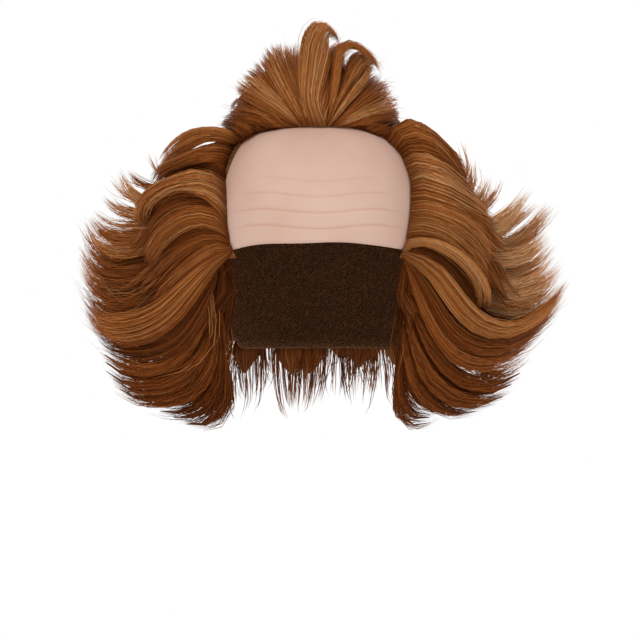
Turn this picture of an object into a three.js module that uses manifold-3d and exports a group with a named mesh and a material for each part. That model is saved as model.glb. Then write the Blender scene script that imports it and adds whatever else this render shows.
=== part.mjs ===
// A clown wig in its worn form: a moulded latex bald forehead on a stretch cap, with a swept-up
// tuft at the crown and hair that waves out from the temples and flicks up at its ends.
// Millimetres, +Z up, the face looks along -Y and +X is on the viewer's right.
// The origin is the inside of the cap where it sits on the crown of the head.
import * as THREE from "three";
import { mergeVertices } from "three/addons/utils/BufferGeometryUtils.js";
import Module from "manifold-3d";

const wasm = await Module();
wasm.setup();

// The head that the wig fits
const headBreadth = 154;
const headLength = 194;
const crownRise = 88; // crown above the head's widest level
const napeReach = 118; // how far the lower half of the head's form would go below that level
const headSquareness = 2.5; // 2 is an ellipse, more is boxier

// The latex forehead and the cap
const latexWall = 1.2;
const capWall = 3;
const seamGap = 0.3;
const capLap = 8; // how far the latex goes under the cap's edge
const foreheadWidth = 134;
const foreheadWidestUp = -62;
const hairlineUp = -10; // top of the bald front
const hairlineSquareness = 2.7;
const browUp = -92; // bottom edge of the latex at the middle
const templeUp = -99; // the same at the temples
const templeNarrowing = 6; // how much narrower each side of the bald front is at the temple

// The cap's lower edge, seen from the side
const earFront = -14;
const earBack = 34;
const earCutUp = -108;
const napeUp = -166;

// The hair
const leftReach = 168; // from the middle to the tips
const rightReach = 177;
const backReach = 146;
const hairDrop = 224; // from the crown down to the lowest tips
const tuftRise = 65; // top of the curl above the crown
const tuftHalfWidth = 66;
const hairGap = 2.4; // between neighbouring pieces of hair
const hairBase = 2; // wall of wefts that each lock grows from
const lockWidth = 58;
const lockThickness = 28;
const waveThickness = 17;
const crownLockWidth = 46;
const tuftLockThickness = 15;

const degree = Math.PI / 180;
const headCentre = new THREE.Vector3(0, 0, -crownRise);

// Turns rows of numbers into rows with named columns.
function table(columns, rows) {
  return rows.map((row) => Object.fromEntries(columns.map((name, i) => [name, row[i]])));
}

const mix = (a, b, share) => a + (b - a) * share;
const smooth = (share) => share * share * (3 - 2 * share);

// The head's form, a squared ellipsoid that can be grown all round
function headSize(grow) {
  return {
    across: headBreadth / 2 + grow,
    along: headLength / 2 + grow,
    above: crownRise + grow,
    below: napeReach + grow,
  };
}

const rounded = (share) => Math.max(0, 1 - Math.abs(share) ** headSquareness) ** (1 / headSquareness);

// A point of the grown head at an azimuth (0 is the face, 90 the viewer's right) and a height.
function headPoint(azimuth, up, grow = 0) {
  const size = headSize(grow);
  const rise = up - headCentre.z;
  const level = rounded(rise / (rise > 0 ? size.above : size.below));
  const x = Math.sin(azimuth * degree);
  const y = -Math.cos(azimuth * degree);
  const corner = Math.abs(x / size.across) ** headSquareness + Math.abs(y / size.along) ** headSquareness;
  const radius = level / corner ** (1 / headSquareness);
  return new THREE.Vector3(x * radius, y * radius, up);
}

// A point of the grown head that a viewer in front sees at x and height up.
function facePoint(x, up, grow = 0) {
  const size = headSize(grow);
  const rise = up - headCentre.z;
  const used =
    Math.abs(x / size.across) ** headSquareness +
    Math.abs(rise / (rise > 0 ? size.above : size.below)) ** headSquareness;
  return new THREE.Vector3(x, -size.along * Math.max(0, 1 - used) ** (1 / headSquareness), up);
}

// Solids and geometries
function toSolid(geometry) {
  const bare = new THREE.BufferGeometry().setAttribute("position", geometry.getAttribute("position"));
  if (geometry.index) bare.setIndex(geometry.index);
  const merged = mergeVertices(bare, 1e-4);
  return new wasm.Manifold(
    new wasm.Mesh({
      numProp: 3,
      vertProperties: merged.getAttribute("position").array,
      triVerts: new Uint32Array(merged.index.array),
    }),
  );
}

function toGeometry(solid) {
  const mesh = solid.getMesh();
  const geometry = new THREE.BufferGeometry();
  geometry.setAttribute("position", new THREE.BufferAttribute(mesh.vertProperties, mesh.numProp));
  geometry.setIndex(new THREE.BufferAttribute(mesh.triVerts, 1));
  geometry.computeVertexNormals();
  return geometry;
}

const joined = (solids) => solids.reduce((all, one) => all.add(one));

// A closed body through rings that all have the same number of points.
function loft(rings) {
  const count = rings[0].length;
  const points = rings.flat();
  const faces = [];
  for (let ring = 0; ring + 1 < rings.length; ring++) {
    for (let i = 0; i < count; i++) {
      const next = (i + 1) % count;
      const [a, b] = [ring * count + i, ring * count + next];
      faces.push(a, b + count, b, a, a + count, b + count);
    }
  }
  const last = (rings.length - 1) * count;
  for (let i = 1; i + 1 < count; i++) {
    faces.push(0, i, i + 1);
    faces.push(last, last + i + 1, last + i);
  }
  const geometry = new THREE.BufferGeometry().setFromPoints(points);
  geometry.setIndex(faces);
  return geometry;
}

// The whole grown head as a solid
function headSolid(grow) {
  const turns = 24;
  const levels = 12;
  const size = headSize(grow);
  const ball = new THREE.SphereGeometry(1, turns, levels).rotateX(Math.PI / 2);
  const place = ball.getAttribute("position");
  const point = new THREE.Vector3();
  for (let i = 0; i < place.count; i++) {
    point.fromBufferAttribute(place, i);
    const reach =
      Math.abs(point.x / size.across) ** headSquareness +
      Math.abs(point.y / size.along) ** headSquareness +
      Math.abs(point.z / (point.z > 0 ? size.above : size.below)) ** headSquareness;
    point.multiplyScalar(reach ** (-1 / headSquareness)).add(headCentre);
    place.setXYZ(i, point.x, point.y, point.z);
  }
  return toSolid(ball);
}

// Half the width of the bald front at a height
function hairlineHalfWidth(up) {
  const half = foreheadWidth / 2;
  if (up > foreheadWidestUp) {
    const share = Math.min(1, (up - foreheadWidestUp) / (hairlineUp - foreheadWidestUp));
    return half * (1 - share ** hairlineSquareness) ** (1 / hairlineSquareness);
  }
  const share = (foreheadWidestUp - up) / (foreheadWidestUp - templeUp);
  return half - templeNarrowing * share ** 2;
}

// A cone from the middle of the head through the bald front, widened by lap along the head.
function foreheadCone(lap) {
  const edge = [];
  const archSteps = 14;
  for (let i = 0; i <= archSteps; i++) {
    const turn = (i / archSteps) * Math.PI;
    const across = Math.sign(Math.cos(turn)) * Math.abs(Math.cos(turn)) ** (2 / hairlineSquareness);
    const rise = Math.sin(turn) ** (2 / hairlineSquareness);
    edge.push(facePoint((across * foreheadWidth) / 2, mix(foreheadWidestUp, hairlineUp, rise)));
  }
  const sideSteps = [0.4, 0.8, 1.4];
  for (const share of sideSteps) {
    const up = mix(foreheadWidestUp, templeUp, share);
    edge.push(facePoint(-hairlineHalfWidth(up), up));
    edge.unshift(facePoint(hairlineHalfWidth(up), up));
  }
  const middle = facePoint(0, foreheadWidestUp).sub(headCentre).normalize();
  const far = 2;
  const rim = edge.map((point) => {
    const arm = point.clone().sub(headCentre);
    const distance = arm.length();
    const angle = arm.angleTo(middle) + lap / distance;
    const side = arm.clone().addScaledVector(middle, -arm.dot(middle)).normalize();
    const ray = middle.clone().multiplyScalar(Math.cos(angle)).addScaledVector(side, Math.sin(angle));
    return ray.multiplyScalar(distance * far).add(headCentre);
  });
  const hub = middle.clone().multiplyScalar(headLength * far).add(headCentre);
  const points = [headCentre, hub, ...rim];
  const faces = [];
  for (let i = 0; i < rim.length; i++) {
    const [a, b] = [2 + i, 2 + ((i + 1) % rim.length)];
    faces.push(0, b, a, 1, a, b);
  }
  const geometry = new THREE.BufferGeometry().setFromPoints(points);
  geometry.setIndex(faces);
  return toSolid(geometry);
}

// The forehead piece: a patch of shell with four wrinkle folds, trimmed to the bald front and its lap
const wrinkles = table(
  ["rise", "depth"], // rise is the share of the way from brow to hairline
  [
    [0.13, 0.6],
    [0.25, 0.6],
    [0.37, 0.5],
    [0.48, 0.35],
  ],
);
const wrinkleHalfWidth = 1.5;
const wrinkleSag = 3; // how much lower the middle and the ends of a wrinkle are than its crests
const patchHalfAngle = 78;

// The patch of shell between two offsets from the head. The folds are left out of a plain one.
function foreheadPatch(innerGrow, outerGrow, folded) {
  const topUp = -3.5;
  const turns = 12;
  const plainRises = [0.07, 0.19, 0.31, 0.43, 0.58, 0.72, 0.86];
  const rise = hairlineUp - browUp;
  const levels = [
    { up: folded ? browUp : browUp - seamGap, depth: 0 },
    ...plainRises.map((share) => ({ up: browUp + share * rise, depth: 0 })),
    { up: topUp, depth: 0 },
    ...wrinkles.flatMap((fold) => {
      const up = browUp + fold.rise * rise;
      return [
        { up: up - wrinkleHalfWidth, depth: 0 },
        { up, depth: fold.depth },
        { up: up + wrinkleHalfWidth, depth: 0 },
      ];
    }),
  ].sort((a, b) => a.up - b.up);
  const rings = [];
  for (let i = 0; i <= turns; i++) {
    const azimuth = mix(-patchHalfAngle, patchHalfAngle, i / turns);
    const off = azimuth / patchHalfAngle;
    const wave = (Math.cos(3.6 * Math.PI * off) - 1) * Math.max(0, 1 - Math.abs(off));
    const inner = [];
    const outer = [];
    for (const level of levels) {
      const fading = smooth(Math.max(0, (topUp - level.up) / (topUp - browUp)));
      const corner = mix(0, templeUp - browUp, Math.min(1, off ** 2 * 2.2));
      const up = level.up + fading * (corner - (wrinkleSag / 2) * wave * (level.up > browUp ? 1 : 0));
      const fade = Math.max(0, 1 - (off * 1.6) ** 4);
      inner.push(headPoint(azimuth, up, innerGrow));
      outer.push(headPoint(azimuth, up, outerGrow - (folded ? level.depth * fade : 0)));
    }
    rings.push([...outer, ...inner.reverse()]);
  }
  return toSolid(loft(rings));
}

function foreheadPiece() {
  return foreheadPatch(0, latexWall, true).intersect(foreheadCone(capLap));
}

// What the cap's lower edge leaves out, as a prism across the head
function belowCap() {
  const front = -headLength;
  const bottom = -2 * hairDrop;
  const outline = new THREE.Shape();
  outline.moveTo(front, bottom);
  outline.lineTo(front, templeUp - 4);
  outline.lineTo(earFront, earCutUp);
  outline.lineTo(mix(earFront, earBack, 0.6), earCutUp - 2);
  outline.quadraticCurveTo(earBack, earCutUp - 4, earBack + 6, mix(earCutUp, napeUp, 0.6));
  outline.quadraticCurveTo(earBack + 12, napeUp, earBack + 30, napeUp);
  outline.lineTo(headLength, napeUp);
  outline.lineTo(headLength, bottom);
  const prism = new THREE.ExtrudeGeometry(outline, {
    depth: 2 * headBreadth,
    bevelEnabled: false,
    curveSegments: 5,
  });
  prism.translate(0, 0, -headBreadth);
  prism.rotateY(Math.PI / 2);
  prism.rotateX(Math.PI / 2);
  return toSolid(prism);
}

// Height of the cap's lower edge at an azimuth, for the roots of the locks
function capEdgeUp(azimuth) {
  const turn = Math.abs(azimuth);
  if (turn < 100) return mix(templeUp, earCutUp, turn / 100);
  return mix(earCutUp, napeUp, smooth(Math.min(1, (turn - 100) / 35)));
}

// One lock: a flat, tapering body along a curve, with its ridge turned away from the head
const lockSides = 5;
const tipShare = 0.12; // of the lock's width and thickness, at its very end

function lockTaper(share) {
  return Math.max(tipShare, (0.85 + 0.6 * share) * (1 - share ** 2.5));
}

function lock(points, width, thickness, grow) {
  const path = new THREE.CatmullRomCurve3(points, false, "centripetal");
  const rings = [];
  const steps = points.length < 5 ? 4 : 5;
  for (let i = 0; i <= steps; i++) {
    const share = i / steps;
    const along = path.getTangentAt(share);
    const place = path.getPointAt(share).addScaledVector(along, grow * Math.round(2 * share - 1));
    const outward = place.clone().sub(headCentre);
    outward.addScaledVector(along, -outward.dot(along)).normalize();
    const across = along.clone().cross(outward).normalize();
    const half = (width * lockTaper(share)) / 2 + grow;
    const thick = (thickness * lockTaper(share)) / 2 + grow;
    const ring = [];
    for (let side = 0; side < lockSides; side++) {
      const turn = (side / lockSides + 0.25) * 2 * Math.PI;
      ring.push(
        place
          .clone()
          .addScaledVector(across, Math.cos(turn) * half)
          .addScaledVector(outward, Math.sin(turn) * thick),
      );
    }
    rings.push(ring);
  }
  return toSolid(loft(rings));
}

function around(azimuth, out, up) {
  return new THREE.Vector3(Math.sin(azimuth * degree) * out, -Math.cos(azimuth * degree) * out, up);
}

// Each tier of hair at the sides and at the back: where a lock starts, rises to, bends at and ends.
// Distances out are shares of the reach, heights are shares of the drop.
const tierColumns = ["root", "riseOut", "riseUp", "bendOut", "bendUp", "tipOut", "tipUp"];
const sideTiers = table(tierColumns, [
  [-0.11, 0.54, -0.15, 0.73, -0.3, 0.84, -0.27],
  [-0.26, 0.64, -0.29, 0.85, -0.43, 0.96, -0.37],
  [-0.43, 0.66, -0.46, 0.87, -0.61, 1, -0.51],
  [-0.58, 0.6, -0.65, 0.8, -0.77, 0.95, -0.69],
  [-0.7, 0.47, -0.82, 0.6, -0.92, 0.78, -0.88],
]);
const backTiers = table(tierColumns, [
  [-0.1, 0.7, -0.1, 0.88, -0.28, 0.97, -0.28],
  [-0.3, 0.83, -0.34, 0.97, -0.52, 1, -0.5],
  [-0.52, 0.78, -0.6, 0.9, -0.76, 0.96, -0.74],
  [-0.72, 0.6, -0.83, 0.66, -0.95, 0.74, -1],
]);

// Columns of locks round the head: where their roots are and how far their tips are swept back
const sideColumns = table(
  ["azimuth", "sweep"],
  [
    [72, 16],
    [100, 12],
  ],
);
const backColumns = table(
  ["azimuth", "sweep"],
  [
    [-156, -3],
    [-129, -7],
    [129, 7],
    [156, 3],
    [180, 0],
  ],
);

function reachAt(azimuth) {
  const reach = azimuth < 0 ? leftReach : rightReach;
  const turn = Math.max(0, Math.min(1, (Math.abs(azimuth) - 90) / 90));
  return mix(reach, backReach, smooth(turn));
}

function tierLock(side, column, tier, grow) {
  const rootUp = Math.max(tier.root * hairDrop, capEdgeUp(column.azimuth) + 6);
  const station = (share, out, up) => {
    const azimuth = side * (column.azimuth + column.sweep * share);
    return around(azimuth, out * reachAt(azimuth), up * hairDrop);
  };
  const points = [
    headPoint(side * column.azimuth, rootUp, capWall + seamGap + hairBase / 2),
    station(0.3, tier.riseOut, tier.riseUp),
    station(0.65, tier.bendOut, tier.bendUp),
    station(1, tier.tipOut, tier.tipUp),
  ];
  return lock(points, lockWidth, lockThickness, grow);
}

// The waves that lie in front, seen from the front: shares of the reach across and of the drop up.
// forward is how far in front of the head's axis each point lies, as a share of half the head's length.
const waveColumns = [
  "rootUp", "riseOut", "riseUp", "crestOut", "crestUp", "fallOut", "fallUp", "endOut", "endUp", "width",
];
const leftWaves = table(waveColumns, [
  [-0.08, 0.45, -0.03, 0.59, -0.06, 0.69, -0.16, 0.72, -0.24, 30],
  [-0.15, 0.5, -0.12, 0.66, -0.14, 0.76, -0.25, 0.74, -0.37, 36],
  [-0.26, 0.53, -0.24, 0.67, -0.27, 0.74, -0.38, 0.73, -0.5, 34],
  [-0.37, 0.52, -0.34, 0.65, -0.38, 0.72, -0.48, 0.7, -0.59, 34],
  [-0.43, 0.48, -0.5, 0.64, -0.62, 0.84, -0.68, 0.98, -0.6, 32],
  [-0.44, 0.43, -0.62, 0.54, -0.77, 0.74, -0.85, 0.92, -0.75, 34],
]);
const rightWaves = table(waveColumns, [
  [-0.08, 0.4, -0.03, 0.5, -0.07, 0.58, -0.17, 0.61, -0.26, 30],
  [-0.16, 0.48, -0.12, 0.6, -0.18, 0.67, -0.29, 0.69, -0.4, 34],
  [-0.27, 0.5, -0.23, 0.65, -0.28, 0.71, -0.39, 0.72, -0.49, 32],
  [-0.4, 0.46, -0.385, 0.6, -0.41, 0.685, -0.53, 0.66, -0.68, 20],
  [-0.43, 0.44, -0.49, 0.55, -0.61, 0.66, -0.68, 0.96, -0.57, 24],
  [-0.44, 0.42, -0.6, 0.52, -0.76, 0.68, -0.82, 0.9, -0.74, 34],
]);
const waveForward = { rise: 0.6, crest: 0.45, fall: 0.28, end: 0.05 };

function waveLock(side, wave, grow) {
  const reach = side < 0 ? leftReach : rightReach;
  const up = wave.rootUp * hairDrop;
  const rootX = Math.max(hairlineHalfWidth(up) + 2, foreheadWidth * 0.42);
  const place = (out, forward, height) =>
    new THREE.Vector3(side * out * reach, (-forward * headLength) / 2, height * hairDrop);
  const points = [
    facePoint(side * Math.min(rootX, headBreadth * 0.45), up, capWall + seamGap + hairBase / 2),
    place(wave.riseOut, waveForward.rise, wave.riseUp),
    place(wave.crestOut, waveForward.crest, wave.crestUp),
    place(wave.fallOut, waveForward.fall, wave.fallUp),
    place(wave.endOut, waveForward.end, wave.endUp),
  ];
  return lock(points, wave.width, waveThickness, grow);
}

// The tuft over the forehead, seen from the front: shares of its half width across and of its rise up,
// and back as a share of half the head's length, from the hairline.
const tuftLocks = table(
  ["root", "middle", "middleUp", "middleBack", "end", "endUp", "endBack", "width"],
  [
    [-0.64, -0.86, 0, 0.14, -0.98, 0.02, 0.5, 26],
    [-0.48, -0.72, 0.26, 0.1, -0.88, 0.32, 0.45, 28],
    [-0.32, -0.54, 0.52, 0.08, -0.68, 0.66, 0.4, 30],
    [-0.13, -0.28, 0.66, 0.05, -0.42, 0.82, 0.4, 28],
    [0.12, 0.26, 0.62, 0.05, 0.38, 0.76, 0.4, 26],
    [0.3, 0.5, 0.46, 0.08, 0.7, 0.54, 0.4, 28],
    [0.46, 0.68, 0.22, 0.12, 0.84, 0.24, 0.45, 28],
    [0.61, 0.8, -0.04, 0.18, 0.9, -0.03, 0.5, 26],
  ],
);

function tuftLock(strip, grow) {
  const rootX = strip.root * tuftHalfWidth;
  const share = Math.min(1, Math.abs(rootX) / (foreheadWidth / 2));
  const arch = (1 - share ** hairlineSquareness) ** (1 / hairlineSquareness);
  const hairline = mix(foreheadWidestUp, hairlineUp, arch);
  const root = facePoint(rootX, hairline + 2, capWall + seamGap + hairBase / 2);
  const place = (across, up, back) =>
    new THREE.Vector3(across * tuftHalfWidth, root.y + (back * headLength) / 2, up * tuftRise);
  return lock(
    [
      root,
      place(strip.middle, strip.middleUp, strip.middleBack),
      place(strip.end, strip.endUp, strip.endBack),
    ],
    strip.width,
    tuftLockThickness,
    grow,
  );
}

// The two curls that stand out of the tuft
const curls = table(
  ["root", "lowAcross", "lowUp", "topAcross", "topUp", "turnAcross", "turnUp", "endAcross", "endUp", "width"],
  [
    [-0.03, -0.05, 0.5, -0.04, 0.88, 0.1, 0.96, 0.3, 0.76, 22],
    [0.14, 0.2, 0.5, 0.36, 0.74, 0.58, 0.66, 0.72, 0.38, 16],
  ],
);

function curlLock(curl, grow) {
  const root = facePoint(curl.root * tuftHalfWidth, hairlineUp + 2, capWall + seamGap + hairBase / 2);
  const place = (across, up, back) =>
    new THREE.Vector3(across * tuftHalfWidth, root.y + (back * headLength) / 2, up * tuftRise);
  return lock(
    [
      root,
      place(curl.lowAcross, curl.lowUp, -0.02),
      place(curl.topAcross, curl.topUp, 0.1),
      place(curl.turnAcross, curl.turnUp, 0.2),
      place(curl.endAcross, curl.endUp, 0.3),
    ],
    curl.width,
    tuftLockThickness,
    grow,
  );
}

// Rows of crown hair behind the tuft, which lie back over the top of the head. Places back from the
// head's axis are shares of half its length, heights are shares of the tuft's rise.
const crownRows = table(
  ["rootBack", "riseBack", "riseUp", "endBack", "endUp"],
  [
    [-0.42, -0.28, 0.66, 0.42, 0.5],
    [0.1, 0.42, 0.46, 1.06, 0.02],
  ],
);
const crownAcross = [-0.72, -0.24, 0.24, 0.72]; // shares of half the head's breadth
const crownSlope = 1.6; // how far the crown falls away at the sides, in shares of the tuft's rise

function crownLock(row, across, grow) {
  const along = headLength / 2;
  const rootX = (across * headBreadth) / 2;
  const drop = across ** 2 * crownSlope * tuftRise;
  const rootAzimuth = Math.atan2(rootX, -row.rootBack * along) / degree;
  const root = headPoint(rootAzimuth, -4 - drop * 0.3, capWall + seamGap + hairBase / 2);
  return lock(
    [
      root,
      new THREE.Vector3(rootX * 1.15, row.riseBack * along, row.riseUp * tuftRise - drop),
      new THREE.Vector3(rootX * 1.25, row.endBack * along, row.endUp * tuftRise - drop),
    ],
    crownLockWidth,
    lockThickness,
    grow,
  );
}

// The patch of weft base under a group of locks: the part of a thin dome inside a box
function basePatch(low, high, grow) {
  const box = new THREE.BoxGeometry(
    high.x - low.x + 2 * grow,
    high.y - low.y + 2 * grow,
    high.z - low.z + 2 * grow,
  );
  box.translate((low.x + high.x) / 2, (low.y + high.y) / 2, (low.z + high.z) / 2);
  return headSolid(capWall + seamGap + hairBase + grow).intersect(toSolid(box));
}

const at = (x, y, z) => new THREE.Vector3(x, y, z);
const far = headLength;
const partingBack = 20; // where the sides' base ends and the back's begins
const crownUp = -30; // where the crown's base ends and the sides' begins
const apart = hairGap / 2;

const baseBoxes = {
  tuft: [at(-far, -far, crownUp + apart), at(far, partingBack - apart, far)],
  left: [at(-far, -far, -far), at(-apart, partingBack - apart, crownUp - apart)],
  right: [at(apart, -far, -far), at(far, partingBack - apart, crownUp - apart)],
  back: [at(-far, partingBack + apart, -far), at(far, far, far)],
};

const tierLocks = (side, columns, tiers, grow) =>
  columns.flatMap((column) => tiers.map((tier) => tierLock(side, column, tier, grow)));

const hairLocks = {
  tuft: (grow) => [
    ...tuftLocks.map((strip) => tuftLock(strip, grow)),
    ...curls.map((curl) => curlLock(curl, grow)),
    ...crownAcross.map((across) => crownLock(crownRows[0], across, grow)),
  ],
  left: (grow) => [
    ...leftWaves.map((wave) => waveLock(-1, wave, grow)),
    ...tierLocks(-1, sideColumns, sideTiers, grow),
  ],
  right: (grow) => [
    ...rightWaves.map((wave) => waveLock(1, wave, grow)),
    ...tierLocks(1, sideColumns, sideTiers, grow),
  ],
  back: (grow) => [
    ...tierLocks(1, backColumns, backTiers, grow),
    ...crownAcross.map((across) => crownLock(crownRows[1], across, grow)),
  ],
};

const largest = (solid) =>
  solid.decompose().reduce((best, body) => (body.volume() > best.volume() ? body : best));

const headAndCap = headSolid(capWall + seamGap);
const lowerCut = belowCap();
const window = foreheadCone(0);

function hairMass(group, grow) {
  const base = basePatch(...baseBoxes[group], grow).subtract(lowerCut).subtract(window);
  return joined([base, ...hairLocks[group](grow)]);
}

function hairBody(group, neighbours) {
  const clear = neighbours.map((name) => hairMass(name, hairGap));
  const cut = clear.reduce((rest, one) => rest.subtract(one), hairMass(group, 0));
  return largest(cut.simplify(hairGap / 2).subtract(headAndCap));
}

function capBody() {
  const shell = headSolid(capWall).subtract(headSolid(0)).subtract(lowerCut).subtract(window);
  const latexRoom = foreheadPatch(-capWall, latexWall + seamGap, false);
  return shell.subtract(latexRoom.intersect(foreheadCone(capLap + seamGap)));
}

// The wig
const latex = { color: 0xd8b6a5, roughness: 0.55, metalness: 0 };
const capCloth = { color: 0x3a2418, roughness: 0.9, metalness: 0 };
const fibre = { color: 0x8a4f26, roughness: 0.5, metalness: 0 };

const wig = new THREE.Group();

function addPiece(name, solid, look) {
  const mesh = new THREE.Mesh(toGeometry(solid), new THREE.MeshStandardMaterial(look));
  mesh.name = name;
  wig.add(mesh);
}

addPiece("forehead_piece", foreheadPiece(), latex);
addPiece("wig_cap", capBody(), capCloth);
addPiece("crown_tuft", hairBody("tuft", []), fibre);
addPiece("side_hair_left", hairBody("left", ["tuft"]), fibre);
addPiece("side_hair_right", hairBody("right", ["tuft"]), fibre);
addPiece("back_hair", hairBody("back", ["tuft", "left", "right"]), fibre);

export default wig;
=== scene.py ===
"""A clown wig in its worn form: a latex bald front on a net cap, with copper-brown synthetic hair.

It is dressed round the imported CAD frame. Sizes in the tables are millimetres, and Blender's are metres.
"""

import math
from collections import namedtuple

import bpy
import numpy as np
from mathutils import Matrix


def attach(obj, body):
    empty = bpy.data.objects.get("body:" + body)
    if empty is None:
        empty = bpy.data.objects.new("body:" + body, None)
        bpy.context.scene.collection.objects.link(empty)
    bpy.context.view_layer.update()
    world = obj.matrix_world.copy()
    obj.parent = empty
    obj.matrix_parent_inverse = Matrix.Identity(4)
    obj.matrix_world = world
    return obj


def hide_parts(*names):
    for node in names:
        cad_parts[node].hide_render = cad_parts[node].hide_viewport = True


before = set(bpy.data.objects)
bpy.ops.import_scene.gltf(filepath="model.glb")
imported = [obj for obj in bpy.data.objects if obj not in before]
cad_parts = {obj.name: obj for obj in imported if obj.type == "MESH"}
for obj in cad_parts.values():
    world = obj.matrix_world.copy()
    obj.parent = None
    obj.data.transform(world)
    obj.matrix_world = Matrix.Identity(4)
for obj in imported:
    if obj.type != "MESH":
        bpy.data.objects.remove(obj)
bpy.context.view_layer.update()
bpy.ops.object.select_all(action="DESELECT")


# The studio
# A camera 2 m away, level with the wearer's mouth, over a white floor and in white air. Large soft lights
# stand high on the viewer's left, lower on the right, and behind, as for a catalogue picture.
MM = 0.001
EYE_DISTANCE = 2000
EYE_UP = -147
EYE_ACROSS = 1.4
STEP = 0.71  # one step of the picture's 640 across, in mm at the middle of the head
STEPS = 640


def linear(hex_colour):
    """An sRGB hex colour as the linear values that Blender works in."""
    parts = [int(hex_colour[i : i + 2], 16) / 255 for i in (1, 3, 5)]
    return [p / 12.92 if p <= 0.04045 else ((p + 0.055) / 1.055) ** 2.4 for p in parts] + [1.0]


def add_node(tree, kind, settings=None, inputs=None, links=None, stops=()):
    """One node with its settings, fixed inputs, links from other nodes' outputs, and its ramp's stops.

    A stop is a place, and an sRGB hex colour or three linear values.
    """
    node = tree.nodes.new(kind)
    for name, value in (settings or {}).items():
        setattr(node, name, value)
    for name, value in (inputs or {}).items():
        node.inputs[name].default_value = value
    for name, output in (links or {}).items():
        tree.links.new(output, node.inputs[name])
    elements = node.color_ramp.elements if stops else ()
    while len(elements) < len(stops):
        elements.new(0.5)
    for element, (position, colour) in zip(elements, stops):
        element.position = position
        element.color = linear(colour) if isinstance(colour, str) else (*colour, 1)
    return node


def new_material(name):
    """An empty material with its output node, ready for a surface."""
    material = bpy.data.materials.new(name)
    material.use_nodes = True
    material.node_tree.nodes.clear()
    out = material.node_tree.nodes.new("ShaderNodeOutputMaterial")
    return material, material.node_tree, out


camera_data = bpy.data.cameras.new("studio_camera")
camera_data.sensor_width = 36
camera_data.lens = 36 * EYE_DISTANCE / (STEPS * STEP)
camera_data.clip_end = 100
camera = bpy.data.objects.new("studio_camera", camera_data)
camera.location = (EYE_ACROSS * MM, -EYE_DISTANCE * MM, EYE_UP * MM)
camera.rotation_euler = (math.pi / 2, 0, 0)
bpy.context.scene.collection.objects.link(camera)
bpy.context.scene.camera = camera
bpy.context.scene.view_settings.view_transform = "Standard"

FLOOR_UP = -0.42
bpy.ops.mesh.primitive_circle_add(vertices=96, radius=14, fill_type="NGON", location=(0, 0, FLOOR_UP))
floor = bpy.context.object
floor.name = "studio_floor"
bpy.ops.object.transform_apply(location=True, rotation=True, scale=True)
floor_paint, tree, out = new_material("white_painted_floor")
matt_white = {"Base Color": linear("#f4f4f3"), "Roughness": 0.9}
paint = add_node(tree, "ShaderNodeBsdfPrincipled", inputs=matt_white)
glow = add_node(tree, "ShaderNodeEmission", inputs={"Color": (1, 1, 1, 1), "Strength": 1.0})
seen_ray = add_node(tree, "ShaderNodeLightPath")
floor_mix = add_node(tree, "ShaderNodeMixShader", links={0: seen_ray.outputs["Is Camera Ray"]})
tree.links.new(paint.outputs[0], floor_mix.inputs[1])
tree.links.new(glow.outputs[0], floor_mix.inputs[2])
tree.links.new(floor_mix.outputs[0], out.inputs[0])
floor.data.materials.append(floor_paint)

air = bpy.data.worlds.new("studio_air")
air.use_nodes = True
air.node_tree.nodes.clear()
tree = air.node_tree
seen_ray = add_node(tree, "ShaderNodeLightPath")
dim_air = add_node(tree, "ShaderNodeBackground", inputs={"Color": (1, 1, 1, 1), "Strength": 0.42})
white_air = add_node(tree, "ShaderNodeBackground", inputs={"Color": (1, 1, 1, 1), "Strength": 1.0})
air_mix = add_node(tree, "ShaderNodeMixShader", links={0: seen_ray.outputs["Is Camera Ray"]})
tree.links.new(dim_air.outputs[0], air_mix.inputs[1])
tree.links.new(white_air.outputs[0], air_mix.inputs[2])
air_out = add_node(tree, "ShaderNodeOutputWorld")
tree.links.new(air_mix.outputs[0], air_out.inputs[0])
bpy.context.scene.world = air


def soft_light(name, place, size, watts):
    """A square soft light that faces the middle of the wig and isn't itself seen."""
    data = bpy.data.lights.new(name, "AREA")
    data.shape = "SQUARE"
    data.size = size
    data.energy = watts
    lamp = bpy.data.objects.new(name, data)
    lamp.location = place
    toward = np.array([0, 0, -0.08]) - np.array(place)
    across = math.atan2(toward[1], toward[0]) - math.pi / 2
    tilt = math.acos(-toward[2] / np.linalg.norm(toward))
    lamp.rotation_euler = (tilt, 0, across)
    lamp.visible_camera = False
    bpy.context.scene.collection.objects.link(lamp)


soft_light("key_softbox", (-0.9, -1.7, 1.3), 0.9, 21)
soft_light("fill_softbox", (1.5, -1.5, 0.5), 1.3, 8)
soft_light("rim_softbox", (0.5, 1.5, 1.4), 1.0, 18)


# The latex bald front
# A sheet of moulded latex 1.2 mm thick with four wrinkle folds pressed into it. It lies on the wearer's
# forehead, ends in a thin free edge above the brows, and is glued under the cap's front edge all round.
HEAD_ACROSS = 77.0
HEAD_ALONG = 97.0
CROWN_RISE = 88.0
NAPE_REACH = 118.0
SQUARENESS = 2.5
HEAD_CENTRE = np.array([0.0, 0.0, -CROWN_RISE])


def level_share(up, grow):
    """How wide the head's form is at a height, as a share of its widest level."""
    rise = up + CROWN_RISE
    reach = np.where(rise > 0, CROWN_RISE + grow, NAPE_REACH + grow)
    return np.clip(1 - np.abs(rise / reach) ** SQUARENESS, 0, 1) ** (1 / SQUARENESS)


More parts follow.
